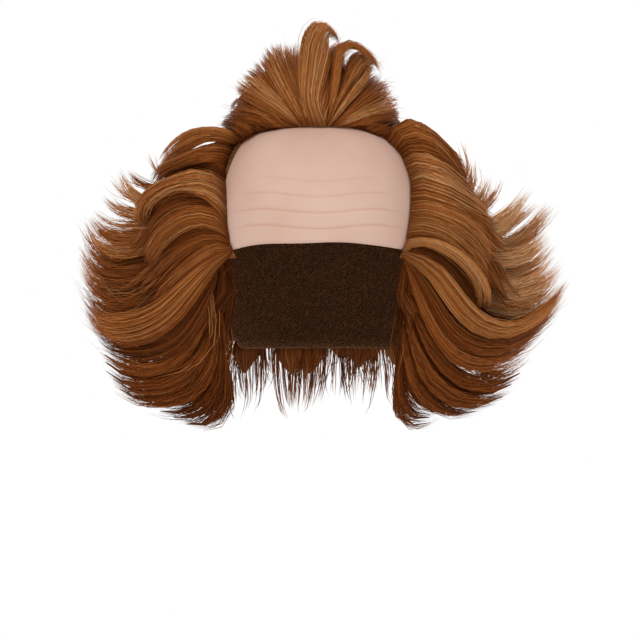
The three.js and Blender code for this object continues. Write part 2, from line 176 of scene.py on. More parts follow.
def head_point(azimuth, up, grow=0.0):
    """Points of the grown head form at azimuths in degrees (0 is the face) and heights."""
    azimuth, up = np.broadcast_arrays(np.radians(azimuth), np.asarray(up, float))
    x, y = np.sin(azimuth), -np.cos(azimuth)
    corner = np.abs(x / (HEAD_ACROSS + grow)) ** SQUARENESS + np.abs(y / (HEAD_ALONG + grow)) ** SQUARENESS
    radius = level_share(up, grow) / corner ** (1 / SQUARENESS)
    return np.stack([x * radius, y * radius, up], axis=-1)


def face_point(across, up, grow=0.0):
    """Points of the grown head form that a viewer in front sees at places across and heights."""
    across, up = np.broadcast_arrays(np.asarray(across, float), np.asarray(up, float))
    rise = up + CROWN_RISE
    reach = np.where(rise > 0, CROWN_RISE + grow, NAPE_REACH + grow)
    used = np.abs(across / (HEAD_ACROSS + grow)) ** SQUARENESS + np.abs(rise / reach) ** SQUARENESS
    depth = -(HEAD_ALONG + grow) * np.clip(1 - used, 0, 1) ** (1 / SQUARENESS)
    return np.stack([across, depth, up], axis=-1)


FRONT_HALF_WIDTH = 64.6
FRONT_WIDEST_UP = -62.0
HAIRLINE_UP = -14.0
HAIRLINE_SQUARENESS = 2.7
BROW_UP = -94.8
TEMPLE_UP = -100.0
TEMPLE_NARROWING = 6.0
LATEX_WALL = 1.2
LAP = 7.0


def front_half_width(up, lap=0.0):
    """Half the width of the bald front at a height, grown by a lap."""
    up = np.asarray(up, float)
    rise = np.clip((up - FRONT_WIDEST_UP) / (HAIRLINE_UP + lap - FRONT_WIDEST_UP), 0, 1)
    arch = (1 - rise**HAIRLINE_SQUARENESS) ** (1 / HAIRLINE_SQUARENESS)
    drop = np.clip((FRONT_WIDEST_UP - up) / (FRONT_WIDEST_UP - TEMPLE_UP), 0, 1.3)
    drawn_in = FRONT_HALF_WIDTH + lap - TEMPLE_NARROWING * drop**2
    return np.where(up > FRONT_WIDEST_UP, (FRONT_HALF_WIDTH + lap) * arch, drawn_in)


def solid_sheet(name, outer, inner):
    """A closed sheet from two equal grids of points, with its four edges walled."""
    rows, columns = outer.shape[:2]
    count = rows * columns
    points = np.concatenate([outer.reshape(-1, 3), inner.reshape(-1, 3)]) * MM
    grid = np.arange(count).reshape(rows, columns)
    faces = []
    for r in range(rows - 1):
        for c in range(columns - 1):
            a, b, d, e = grid[r, c], grid[r, c + 1], grid[r + 1, c + 1], grid[r + 1, c]
            faces.append((a, b, d, e))
            faces.append((a + count, e + count, d + count, b + count))
    rim = list(grid[0, :]) + list(grid[1:, -1]) + list(grid[-1, -2::-1]) + list(grid[-2:0:-1, 0])
    for a, b in zip(rim, rim[1:] + rim[:1]):
        faces.append((a, a + count, b + count, b))
    mesh = bpy.data.meshes.new(name)
    mesh.from_pydata([tuple(p) for p in points], [], [tuple(int(i) for i in f) for f in faces])
    mesh.shade_smooth()
    piece = bpy.data.objects.new(name, mesh)
    bpy.context.scene.collection.objects.link(piece)
    return piece


# rise is the share of the way from brow to hairline, deep is in mm, half is the fold's half length in mm
FOLDS = (
    {"rise": 0.135, "deep": 0.42, "half": 58},
    {"rise": 0.268, "deep": 0.4, "half": 58},
    {"rise": 0.405, "deep": 0.3, "half": 52},
    {"rise": 0.535, "deep": 0.16, "half": 40},
)
FOLD_WIDE = 0.8
FOLD_WAVE = 1.7


def fold_path(fold, across):
    """Height of a fold's middle line: it sags at the centre, crests twice and falls at its ends."""
    middle = BROW_UP + fold["rise"] * (HAIRLINE_UP - BROW_UP)
    crest = np.cos(across / 43 * math.pi)
    fall = -2.2 * np.clip(np.abs(across) / 60, 0, 1.2) ** 4
    return middle - FOLD_WAVE * crest + fall


def brow_line(across):
    """Height of the latex's free lower edge."""
    share = np.clip(np.abs(across) / 62, 0, 1.2)
    return BROW_UP + (TEMPLE_UP - BROW_UP) * share**3 + 0.4 * np.sin(across / 9)


shares = [0.0, 0.006, 0.014]
for fold in FOLDS:
    shares += [fold["rise"] + d for d in np.linspace(-0.05, 0.05, 13)]
shares += list(np.linspace(0.03, 1.0, 26))
shares = np.unique(np.round(shares, 4))
columns = np.sin(np.linspace(-1, 1, 81) * math.pi / 2 * 0.96) / math.sin(math.pi / 2 * 0.96)
top_up = HAIRLINE_UP + LAP - 1.5
flat_up = BROW_UP + shares * (top_up - BROW_UP)
across = columns[None, :] * front_half_width(flat_up, LAP)[:, None]
up = flat_up[:, None] + (brow_line(across) - BROW_UP) * (1 - shares[:, None]) ** 1.5
pressed = np.zeros_like(up)
for fold in FOLDS:
    off = up - fold_path(fold, across)
    fade = np.clip(1.15 - (np.abs(across) / fold["half"]) ** 6, 0, 1)
    groove = np.exp(-((off / FOLD_WIDE) ** 2))
    swell = 0.45 * np.exp(-(((off - 2.6) / 2.2) ** 2)) + 0.3 * np.exp(-(((off + 2.6) / 2.2) ** 2))
    pressed += fold["deep"] * fade * (groove - swell)
soft = 0.25 * np.sin(across / 17 + up / 23) + 0.2 * np.sin(up / 11 - across / 31)
edge_thin = np.clip((shares[:, None] + 0.004) / 0.02, 0.35, 1)
inner = face_point(across, up)
outer = inner
normal = outer - HEAD_CENTRE
normal /= np.linalg.norm(normal, axis=-1, keepdims=True)
outer = outer + normal * (LATEX_WALL * edge_thin + 0.25 * soft - pressed)[..., None]
forehead = solid_sheet("latex_bald_front", outer, inner)
# Painted shade: the grooves of the folds are darkened in the latex's colour, as the shade that lies in them
tint = forehead.data.attributes.new("painted_crease_shade", "FLOAT", "POINT")
shade = np.clip(pressed / 0.62, 0, 1).reshape(-1)
tint.data.foreach_set("value", np.concatenate([shade, shade * 0]).astype(np.float32))

# Foamed and powdered latex, skin pink: matt with a faint waxy sheen, fine pores and a blotchy flush, and with
# painted shade darkening the grooves of its folds
latex, tree, out = new_material("skin_pink_latex")
place = add_node(tree, "ShaderNodeTexCoord")
blotch = add_node(
    tree,
    "ShaderNodeTexNoise",
    inputs={"Scale": 22.0, "Detail": 3.0, "Roughness": 0.55},
    links={"Vector": place.outputs["Object"]},
)
skin_pinks = ((0.3, "#dbb29f"), (0.72, "#e2bfad"))
flush = add_node(tree, "ShaderNodeValToRGB", links={"Fac": blotch.outputs["Fac"]}, stops=skin_pinks)
crease_shade_amount = add_node(tree, "ShaderNodeAttribute", {"attribute_name": "painted_crease_shade"})
# Painted shade: multiplies the colour darker in the folds' grooves
deep = add_node(
    tree,
    "ShaderNodeMix",
    {"data_type": "RGBA", "blend_type": "MULTIPLY"},
    {"B": linear("#edd2c4")},
    {"Factor": crease_shade_amount.outputs["Fac"], "A": flush.outputs["Color"]},
)
pores = add_node(
    tree,
    "ShaderNodeTexNoise",
    inputs={"Scale": 900.0, "Detail": 2.0},
    links={"Vector": place.outputs["Object"]},
)
dimple = add_node(
    tree,
    "ShaderNodeBump",
    inputs={"Strength": 0.12, "Distance": 0.0004},
    links={"Height": pores.outputs["Fac"]},
)
skin = add_node(
    tree,
    "ShaderNodeBsdfPrincipled",
    inputs={"Roughness": 0.62, "IOR": 1.5, "Specular IOR Level": 0.35},
    links={"Base Color": deep.outputs["Result"], "Normal": dimple.outputs["Normal"]},
)
tree.links.new(skin.outputs[0], out.inputs[0])
forehead.data.materials.append(latex)
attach(forehead, "root")
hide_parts("forehead_piece")


# The net cap
# A stretch cap of dark brown net that carries the rows of hair and grips the head. Sewn wefts run round it
# as low ridges inside, and its front edge is bound with a narrow brown tape where the latex goes under it.
CAP_WALL = 3.0
CAP_INSIDE = 0.9  # how far its inner skin stands off the head
WEFT_SPACING = 7.5
TEMPLE_TURN = 9.4  # degrees that the front edge turns in at the temples
EAR_UP = -108.0
NAPE_UP = -166.0
WIDEST = face_point(FRONT_HALF_WIDTH, FRONT_WIDEST_UP)
WINDOW_TURN = math.degrees(math.atan2(WIDEST[0], -WIDEST[1]))


def smooth_step(share):
    """0 to 1 with a soft start and end."""
    share = np.clip(share, 0, 1)
    return share * share * (3 - 2 * share)


def cap_edge_up(turn):
    """Height of the cap's lower edge at an angle round from the face."""
    turn = np.abs(turn)
    front = TEMPLE_UP - 4 + (EAR_UP - TEMPLE_UP + 4) * np.clip((turn - 40) / 60, 0, 1)
    return front + (NAPE_UP - EAR_UP) * smooth_step((turn - 106) / 30)


def window_top_up(turn):
    """Height at which a line of the cap, at an angle round from the face, meets the bald front."""
    low, high = np.full_like(turn, FRONT_WIDEST_UP), np.full_like(turn, HAIRLINE_UP)
    for _ in range(30):
        middle = (low + high) / 2
        point = head_point(turn, middle)
        inside = np.abs(point[..., 0]) < front_half_width(middle)
        low, high = np.where(inside, middle, low), np.where(inside, high, middle)
    return (low + high) / 2


front_turns = np.linspace(-WINDOW_TURN, WINDOW_TURN, 33)
turns = np.concatenate([front_turns, np.linspace(WINDOW_TURN, 360 - WINDOW_TURN, 81)[1:-1]])
turns = (turns + 180) % 360 - 180
in_front = np.abs(turns) < WINDOW_TURN - 1e-6
ends = np.where(in_front, window_top_up(turns), FRONT_WIDEST_UP)
UPPER_ROWS = 20
LOWER_ROWS = 18


def cap_level(row):
    """Heights of a row of the cap's upper part, evenly spaced over the crown."""
    rise = (ends + CROWN_RISE) / CROWN_RISE
    edge_level = (1 - rise**SQUARENESS) ** (1 / SQUARENESS)
    level = edge_level * row / UPPER_ROWS
    return CROWN_RISE * (1 - level**SQUARENESS) ** (1 / SQUARENESS) - CROWN_RISE


rows_up = [cap_level(row) for row in range(1, UPPER_ROWS + 1)]
lowest = cap_edge_up(turns)
for row in range(1, LOWER_ROWS + 1):
    rows_up.append(FRONT_WIDEST_UP + (lowest - FRONT_WIDEST_UP) * row / LOWER_ROWS)
rows_up = np.array(rows_up)
narrowing = np.clip((FRONT_WIDEST_UP - rows_up) / (FRONT_WIDEST_UP - TEMPLE_UP), 0, 1.1) ** 2 * TEMPLE_TURN
near_window = np.clip(1 - (np.abs(turns) - WINDOW_TURN) / 60, 0, 1)
shifted = np.sign(turns) * (np.abs(turns) - narrowing * near_window)
ridge = 0.35 * np.maximum(0, np.cos(rows_up / WEFT_SPACING * 2 * math.pi)) ** 3
rim = np.zeros(rows_up.shape, np.float32)
rim[UPPER_ROWS - 3 : UPPER_ROWS, in_front] = ((0.5,), (0.7,), (1.0,))
rim[UPPER_ROWS - 1 :, np.abs(np.abs(turns) - WINDOW_TURN) < 1e-6] = 1
skins = []
base = head_point(shifted, rows_up)
away = base - HEAD_CENTRE
away /= np.linalg.norm(away, axis=-1, keepdims=True)
# The wall is thinner where the tape binds it, and the wefts stand out inside
for height in (CAP_WALL * (1 - 0.4 * rim), CAP_INSIDE - ridge):
    skins.append(base + away * height[..., None])
rings = len(rows_up)
around = len(turns)
tops = np.array([[0, 0, CAP_WALL], [0, 0, CAP_INSIDE]])
points = np.concatenate([skins[0].reshape(-1, 3), skins[1].reshape(-1, 3), tops]) * MM
count = rings * around
grid = np.arange(count).reshape(rings, around)
faces = []
cells = set()
for r in range(rings - 1):
    for c in range(around):
        d = (c + 1) % around
        if r >= UPPER_ROWS - 1 and (in_front[c] or in_front[d]):
            continue
        cells.add((r, c))
        a, b, e, f = grid[r, c], grid[r, d], grid[r + 1, d], grid[r + 1, c]
        faces.append((a, f, e, b))
        faces.append((a + count, b + count, e + count, f + count))
for c in range(around):
    d = (c + 1) % around
    faces.append((2 * count, grid[0, c], grid[0, d]))
    faces.append((2 * count + 1, grid[0, d] + count, grid[0, c] + count))
for r, c in cells:
    d = (c + 1) % around
    sides = (
        ((r + 1, c), grid[r + 1, c], grid[r + 1, d]),
        ((r, d), grid[r + 1, d], grid[r, d]),
        ((r, (c - 1) % around), grid[r, c], grid[r + 1, c]),
    )
    for beside, a, b in sides:
        if beside not in cells:
            faces.append((a, a + count, b + count, b))
for c in range(around):
    d = (c + 1) % around
    if (UPPER_ROWS - 1, c) not in cells and (UPPER_ROWS - 2, c) not in cells:
        a, b = grid[UPPER_ROWS - 1, c], grid[UPPER_ROWS - 1, d]
        faces.append((a, a + count, b + count, b))
cap_mesh = bpy.data.meshes.new("net_cap")
cap_mesh.from_pydata([tuple(p) for p in points], [], [tuple(int(i) for i in f) for f in faces])
cap_mesh.shade_smooth()
tape = cap_mesh.attributes.new("edge_tape", "FLOAT", "POINT")
tape.data.foreach_set("value", np.concatenate([rim.reshape(-1), np.zeros(count + 2, np.float32)]))
cap = bpy.data.objects.new("net_cap", cap_mesh)
bpy.context.scene.collection.objects.link(cap)

# Knitted nylon net with holes about 1.6 mm wide: dark and matt, with lighter threads round each hole
net, tree, out = new_material("brown_nylon_net")
place = add_node(tree, "ShaderNodeTexCoord")
holes = add_node(
    tree,
    "ShaderNodeTexVoronoi",
    {"feature": "DISTANCE_TO_EDGE"},
    {"Scale": 620.0},
    {"Vector": place.outputs["Object"]},
)
net_browns = ((0.08, "#7a5438"), (0.2, "#35211a"))
thread = add_node(tree, "ShaderNodeValToRGB", links={"Fac": holes.outputs["Distance"]}, stops=net_browns)
raised = add_node(
    tree,
    "ShaderNodeBump",
    {"invert": True},
    {"Strength": 0.6, "Distance": 0.0005},
    {"Height": holes.outputs["Distance"]},
)
taped = add_node(tree, "ShaderNodeAttribute", {"attribute_name": "edge_tape"})
bound = add_node(
    tree,
    "ShaderNodeMix",
    {"data_type": "RGBA"},
    {"B": linear("#8a4f26")},
    {"Factor": taped.outputs["Fac"], "A": thread.outputs["Color"]},
)
nylon = add_node(
    tree,
    "ShaderNodeBsdfPrincipled",
    inputs={"Roughness": 0.95, "Specular IOR Level": 0.0},
    links={"Base Color": bound.outputs["Result"], "Normal": raised.outputs["Normal"]},
)
tree.links.new(nylon.outputs[0], out.inputs[0])
cap.data.materials.append(net)
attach(cap, "root")
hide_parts("wig_cap")


# The crown tuft
# Long synthetic hair sewn in at the top of the forehead. It fans out of a narrow gathered base, stands up
# and leans back. One curl stands at the middle and bends over to the right, with a second one beside it.
RNG = np.random.default_rng(7)
TONES = 64


def seen(across, down, depth):
    """The place at a depth from the camera's side that shows at a step across and down the picture."""
    share = (depth + EYE_DISTANCE) / EYE_DISTANCE
    x = EYE_ACROSS + (across - STEPS / 2) * STEP * share
    z = EYE_UP + (STEPS / 2 - down) * STEP * share
    return np.array([x, depth, z])


def root_place(across, down):
    """The place on the cap's outside that shows at a step across and down the picture."""
    depth = -50.0
    for _ in range(8):
        point = seen(across, down, depth)
        point[0] = np.clip(point[0], -76, 76)
        depth = float(face_point(point[0], point[2], CAP_WALL)[1])
    return np.array([point[0], depth, point[2]])


def smooth_path(points, count=48):
    """A smooth line through a few places, in even steps."""
    points = np.asarray(points, float)
    knots = np.concatenate([[0], np.cumsum(np.linalg.norm(np.diff(points, axis=0), axis=1) ** 0.5)])
    slopes = np.gradient(points, knots, axis=0, edge_order=1)
    fine = np.linspace(0, knots[-1], 16 * len(points))
    k = np.clip(np.searchsorted(knots, fine) - 1, 0, len(points) - 2)
    wide = (knots[k + 1] - knots[k])[:, None]
    s = (fine - knots[k])[:, None] / wide
    line = (
        (2 * s**3 - 3 * s**2 + 1) * points[k]
        + (s**3 - 2 * s**2 + s) * wide * slopes[k]
        + (3 * s**2 - 2 * s**3) * points[k + 1]
        + (s**3 - s**2) * wide * slopes[k + 1]
    )
    length = np.concatenate([[0], np.cumsum(np.linalg.norm(np.diff(line, axis=0), axis=1))])
    even = np.linspace(0, length[-1], count)
    return np.stack([np.interp(even, length, line[:, i]) for i in range(3)], axis=1)


def unit(vectors):
    """Vectors of length 1 in the same directions."""
    return vectors / np.maximum(np.linalg.norm(vectors, axis=-1, keepdims=True), 1e-9)


def at_share(values, share):
    """Values along a path at shares of its length, also a little past its end."""
    at = np.clip(share, 0, 1.25) * (len(values) - 1)
    low = np.clip(at.astype(int), 0, len(values) - 2)
    part = (at - low)[..., None]
    return values[low] * (1 - part) + values[low + 1] * part


class Lock:
    """A lock of hair: its middle line, half its width and depth, the way that it bulges, and its tone, which
    is dye with painted shade for locks that lie in creases, hollows and behind others.

    filled is the share of its length that is packed so full that nothing shows through.
    """

    def __init__(self, path, spread, deep, tone, facing):
        self.path, self.spread, self.deep, self.tone = path, spread, deep, tone
        self.filled = 0.84
        along = unit(np.gradient(path, axis=0))
        facing = np.broadcast_to(np.asarray(facing, float), path.shape)
        facing = unit(facing - along * np.sum(facing * along, axis=1, keepdims=True))
        normal = np.cross(along, spread)
        normal *= np.sign(np.sum(normal * facing, axis=1, keepdims=True) + 1e-9)
        size = np.linalg.norm(spread, axis=1, keepdims=True)
        self.face = unit(unit(normal) * size + facing * 1.5)


# Thickness along a lock, and width along one that has no traced edges, as shares of the full size
LOCK_SHARES = (0, 0.12, 0.35, 0.6, 0.8, 0.92, 1)
THICKNESS = (0.3, 0.7, 1.0, 0.95, 0.75, 0.5, 0.25)
WIDTH = (0.8, 0.92, 1.0, 0.95, 0.8, 0.62, 0.4)


def round_lock(path, width, thick, tone, facing):
    """A lock round a middle line."""
    share = np.linspace(0, 1, len(path))
    along = unit(np.gradient(path, axis=0))
    facing = np.broadcast_to(np.asarray(facing, float), path.shape)
    face = unit(facing - along * np.sum(facing * along, axis=1, keepdims=True))
    spread = np.cross(along, face) * (np.interp(share, LOCK_SHARES, WIDTH) * width / 2)[:, None]
    return Lock(path, spread, np.interp(share, LOCK_SHARES, THICKNESS) * thick / 2, tone, facing)


def edged_lock(upper, lower, thick, tone, facing):
    """A lock between two traced edges."""
    share = np.linspace(0, 1, len(upper))
    deep = np.interp(share, LOCK_SHARES, THICKNESS) * thick / 2
    return Lock((upper + lower) / 2, (upper - lower) / 2, deep, tone, facing)


def strand_lines(lock, count, steps, fray, reach, clumps, gather, sway, spill, fibre=0.26, inner=0.2):
    """Centre lines, radii and tones of the strands that lie round the outside of a lock: dye tones, made
    darker as painted shade in the furrows between clumps.

    Single strands stray by fray and whole clumps by sway, in mm. They end at a share of the lock's length
    in reach, draw together in clumps by gather, cover spill of its width, and have the radius fibre in mm.
    """
    spot = RNG.uniform(-spill, spill, count)
    centres = (np.arange(clumps) + 0.5) / clumps * 2 - 1 + RNG.normal(0, 0.25 / clumps, clumps)
    nearest = np.argmin(np.abs(spot[:, None] - centres[None]), axis=1)
    ends = RNG.uniform(0.9, 1.0, clumps)
    share = np.linspace(0, 1, steps)[None, :] * (RNG.uniform(*reach, count) * ends[nearest])[:, None]
    ridge = np.cos(np.clip((spot - centres[nearest]) * clumps, -1, 1) * math.pi)
    pull = gather * share**2.2
    across = spot[:, None] * (1 - pull) + centres[nearest][:, None] * pull
    across = across + RNG.normal(0, 0.12, count)[:, None] * share
    bulge = np.where(RNG.uniform(0, 1, count) < inner, -0.7, 1.0) * RNG.uniform(0.8, 1.06, count)
    bulge = bulge * (1 + 0.16 * ridge)
    out = bulge[:, None] * np.sqrt(np.clip(1 - (across * 0.96) ** 2, 0.05, 1)) * (1 - 0.5 * pull)
    loose = np.abs(RNG.normal(0, 1, count)) * fray
    loose *= np.where(RNG.uniform(0, 1, count) < 0.04, 2.2, 1.0)

    def bends():
        """Slow bends of single strands and of whole clumps, which grow along them."""
        turns, begins = RNG.uniform(1.5, 5, (2, count)), RNG.uniform(0, 2 * math.pi, (2, count))
        turns[1] = RNG.uniform(2, 5, clumps)[nearest]
        begins[1] = RNG.uniform(0, 2 * math.pi, clumps)[nearest]
        own, shared = np.sin(share[None] * turns[..., None] + begins[..., None])
        return (loose[:, None] * own + sway * shared) * share**1.2

    face = at_share(lock.face, share)
    lines = at_share(lock.path, share) + at_share(lock.spread, share) * across[..., None]
    lines = lines + face * (out * at_share(lock.deep[:, None], share)[..., 0] + bends())[..., None]
    lines = lines + np.cross(unit(np.gradient(lines, axis=1)), face) * bends()[..., None]
    station = np.linspace(0, 1, steps)
    radius = fibre * np.interp(station, (0, 0.1, 0.6, 0.85, 1), (0.8, 1, 1, 0.7, 0))
    radius = radius[None, :] * RNG.uniform(0.75, 1.3, count)[:, None]
    # Painted shade: strands in the furrows between clumps get darker tones, and those on the clumps' ridges
    # lighter ones
    tones = lock.tone + 3 * ridge + RNG.normal(0, 4.5, clumps)[nearest] + RNG.normal(0, 9, count)
    return lines, face, radius, np.clip(tones, 0, TONES - 1).astype(int)


def strand_arrays(lines, outward, radius, tones):
    """Points, faces and UVs of three-sided closed strands."""
    count, steps = lines.shape[:2]
    along = unit(np.gradient(lines, axis=1))
    side = unit(np.cross(along, outward))
    up = np.cross(along, side)
    rings = []
    for corner in range(3):
        turn = corner * 2 * math.pi / 3 + math.pi / 2
        rings.append(lines + (side * math.cos(turn) + up * math.sin(turn)) * radius[..., None])
    ring_points = np.stack(rings, axis=2)[:, : steps - 1]
    points = np.concatenate([ring_points.reshape(count, -1, 3), lines[:, -1:]], axis=1)
    quads, quad_uv = [], []
    for k in range(steps - 2):
        for j in range(3):
            n = (j + 1) % 3
            quads.append((3 * k + j, 3 * k + n, 3 * k + 3 + n, 3 * k + 3 + j))
            low, high = k / (steps - 1), (k + 1) / (steps - 1)
            quad_uv.append(((j / 3, low), ((j + 1) / 3, low), ((j + 1) / 3, high), (j / 3, high)))
    last, low = 3 * (steps - 2), (steps - 2) / (steps - 1)
    tris = [(last + j, last + (j + 1) % 3, last + 3) for j in range(3)] + [(0, 2, 1)]
    tri_uv = [((j / 3, low), ((j + 1) / 3, low), ((j + 0.5) / 3, 1.0)) for j in range(3)]
    tri_uv.append(((0, 0), (0.66, 0), (0.33, 0)))
    first = np.arange(count)[:, None, None] * points.shape[1]
    quads = (np.array(quads)[None] + first).reshape(-1, 4)
    tris = (np.array(tris)[None] + first).reshape(-1, 3)

    def placed(uv):
        """Corners of one strand's map, in the map's column for its tone."""
        uv = np.broadcast_to(np.array(uv, float)[None], (count, *np.shape(uv))).copy()
        uv[..., 0] = (tones[:, None, None] + 0.08 + 0.84 * uv[..., 0]) / TONES
        return uv.reshape(-1, 2)

    return points.reshape(-1, 3), quads, tris, placed(quad_uv), placed(tri_uv)


def joined_mesh(name, points, quads, tris, uv, material):
    """One mesh object from arrays of points, quads and triangles, with its UV map."""
    corners = np.concatenate([quads.reshape(-1), tris.reshape(-1)]).astype(np.int32)
    starts = np.concatenate([np.arange(len(quads)) * 4, len(quads) * 4 + np.arange(len(tris)) * 3])
    mesh = bpy.data.meshes.new(name)
    mesh.vertices.add(len(points))
    mesh.vertices.foreach_set("co", (points * MM).astype(np.float32).reshape(-1))
    mesh.loops.add(len(corners))
    mesh.loops.foreach_set("vertex_index", corners)
    mesh.polygons.add(len(starts))
    mesh.polygons.foreach_set("loop_start", starts.astype(np.int32))
    mesh.uv_layers.new(name="OFBake").data.foreach_set("uv", uv.astype(np.float32).reshape(-1))
    mesh.update(calc_edges=True)
    mesh.shade_smooth()
    mesh.materials.append(material)
    piece = bpy.data.objects.new(name, mesh)
    bpy.context.scene.collection.objects.link(piece)
    return piece


def strand_mesh(name, batches, material):
    """One mesh of the strands of many locks."""
    parts = [strand_arrays(*batch) for batch in batches]
    bases = np.concatenate([[0], np.cumsum([len(p[0]) for p in parts])])
    points = np.concatenate([p[0] for p in parts])
    quads = np.concatenate([p[1] + base for p, base in zip(parts, bases)])
    tris = np.concatenate([p[2] + base for p, base in zip(parts, bases)])
    uv = np.concatenate([p[3] for p in parts] + [p[4] for p in parts])
    return joined_mesh(name, points, quads, tris, uv, material)


BODY_SIDES = 8
BODY_STEPS = 12
BODY_WIDE = 0.9  # of its lock's width and depth
BODY_DEEP = 0.8


def body_mesh(name, locks, material):
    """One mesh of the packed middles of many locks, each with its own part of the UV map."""
    columns = math.ceil(math.sqrt(len(locks)))
    turn = np.arange(BODY_SIDES + 1) / BODY_SIDES * 2 * math.pi
    along_body = np.linspace(0, 1, BODY_STEPS)
    closing = np.interp(along_body, (0, 0.45, 0.8, 1), (1, 1, 0.5, 0.08))
    cell = BODY_STEPS * BODY_SIDES
    quads, corners_at = [], []
    for k in range(BODY_STEPS - 1):
        for j in range(BODY_SIDES):
            n = (j + 1) % BODY_SIDES
            here, after = BODY_SIDES * k, BODY_SIDES * (k + 1)
            quads.append((here + j, here + n, after + n, after + j))
            corners_at.append(((k, j), (k, j + 1), (k + 1, j + 1), (k + 1, j)))
    tris, tri_corners = [], []
    last = BODY_SIDES * (BODY_STEPS - 1)
    for j in range(1, BODY_SIDES - 1):
        tris.append((0, j + 1, j))
        tris.append((last, last + j, last + j + 1))
        tri_corners.append(((0, 0), (0, j + 1), (0, j)))
        tri_corners.append(((BODY_STEPS - 1, 0), (BODY_STEPS - 1, j), (BODY_STEPS - 1, j + 1)))
    points, all_quads, all_tris, uvs, places, tones = [], [], [], [[], []], [[], []], [[], []]
    for index, lock in enumerate(locks):
        share = along_body * lock.filled
        deep = at_share(lock.deep[:, None], share)[:, 0] * BODY_DEEP * closing
        path, spread, face = (at_share(v, share) for v in (lock.path, lock.spread, lock.face))
        wide = (spread * closing[:, None] * BODY_WIDE)[:, None]
        ring = path[:, None] + wide * np.cos(turn[:-1])[None, :, None]
        ring = ring + face[:, None] * (np.sin(turn[:-1])[None] * deep[:, None])[..., None]
        points.append(ring.reshape(-1, 3))
        all_quads.append(np.array(quads) + index * cell)
        all_tris.append(np.array(tris) + index * cell)
        run = np.linalg.norm(np.diff(path, axis=0), axis=1).sum()
        # About its way round in mm, so that the streaks of its colour keep their size
        girth = 4.4 * np.linalg.norm(lock.spread, axis=1).mean() + 3 * lock.deep.mean()
        for which, at in enumerate((corners_at, tri_corners)):
            at = np.array(at, float).reshape(-1, 2)
            across, along = at[:, 1] / BODY_SIDES, at[:, 0] / (BODY_STEPS - 1)
            left, low = index % columns, index // columns
            corner = np.stack([left + 0.04 + 0.92 * across, low + 0.04 + 0.92 * along], axis=1)
            uvs[which].append(corner / columns)
            place = (across * girth + 100 * index, along * run, along * lock.filled)
            places[which].append(np.stack(place, axis=1))
            tones[which].append(np.full(len(at), lock.tone / TONES))
    quads, tris = np.concatenate(all_quads), np.concatenate(all_tris)
    uv = np.concatenate(uvs[0] + uvs[1])
    piece = joined_mesh(name, np.concatenate(points), quads, tris, uv, material)
    place = piece.data.attributes.new("fibre_place", "FLOAT_VECTOR", "CORNER")
    place.data.foreach_set("vector", np.concatenate(places[0] + places[1]).astype(np.float32).reshape(-1))
    tone = piece.data.attributes.new("fibre_tone", "FLOAT", "CORNER")
    tone.data.foreach_set("value", np.concatenate(tones[0] + tones[1]).astype(np.float32))
    return piece


# Heat-set modacrylic fibre, coloured copper brown and glossy, with redder and browner strands side by side.
# Painted shade darkens it towards the roots and painted light lifts its tips to dusty gold, as light shining
# through them. A real one is 0.08 mm thick: here one stands for a few.
DYES = ((0.0, "#5b2d12"), (0.3, "#85451c"), (0.55, "#a25c2a"), (0.8, "#be7d45"), (1.0, "#d4a475"))
# Painted shade and light along a strand, from root to tip: darker at the roots and lighter at the tips
ROOT_SHADE_TO_TIP_LIGHT = (
    (0.0, (0.55, 0.5, 0.47)),
    (0.25, (1.0, 1.0, 1.0)),
    (0.7, (1.0, 1.0, 1.0)),
    (1.0, (1.5, 1.45, 1.4)),
)
MULTIPLY = {"data_type": "RGBA", "blend_type": "MULTIPLY", "clamp_result": False}
COPPER_SHEEN = linear("#e8b080")


def coloured_with_painted_light(tree, tone, along):
    """The colour of hair from its dye tone, with painted shade towards the roots and painted light towards
    the tips by how far along its strands it is.
    """
    dye = add_node(tree, "ShaderNodeValToRGB", links={"Fac": tone}, stops=DYES)
    root_shade_tip_light = add_node(tree, "ShaderNodeValToRGB", links={"Fac": along}, stops=ROOT_SHADE_TO_TIP_LIGHT)
    both = {"A": dye.outputs["Color"], "B": root_shade_tip_light.outputs["Color"]}
    return add_node(tree, "ShaderNodeMix", MULTIPLY, {"Factor": 1.0}, both).outputs["Result"]


strand_fibre, tree, out = new_material("copper_modacrylic_strands")
uv = add_node(tree, "ShaderNodeUVMap", {"uv_map": "OFBake"})
parts = add_node(tree, "ShaderNodeSeparateXYZ", links={"Vector": uv.outputs["UV"]})
tones = {1: float(TONES)}
scaled = add_node(tree, "ShaderNodeMath", {"operation": "MULTIPLY"}, tones, {0: parts.outputs["X"]})
column = add_node(tree, "ShaderNodeMath", {"operation": "FLOOR"}, links={0: scaled.outputs[0]})
tone = add_node(tree, "ShaderNodeMath", {"operation": "DIVIDE"}, tones, {0: column.outputs[0]})
dye_and_painted_light = coloured_with_painted_light(tree, tone.outputs[0], parts.outputs["Y"])
fibre = add_node(
    tree,
    "ShaderNodeBsdfPrincipled",
    inputs={"Roughness": 0.38, "IOR": 1.5, "Specular IOR Level": 0.22, "Specular Tint": COPPER_SHEEN},
    links={"Base Color": dye_and_painted_light},
)
tree.links.new(fibre.outputs[0], out.inputs[0])

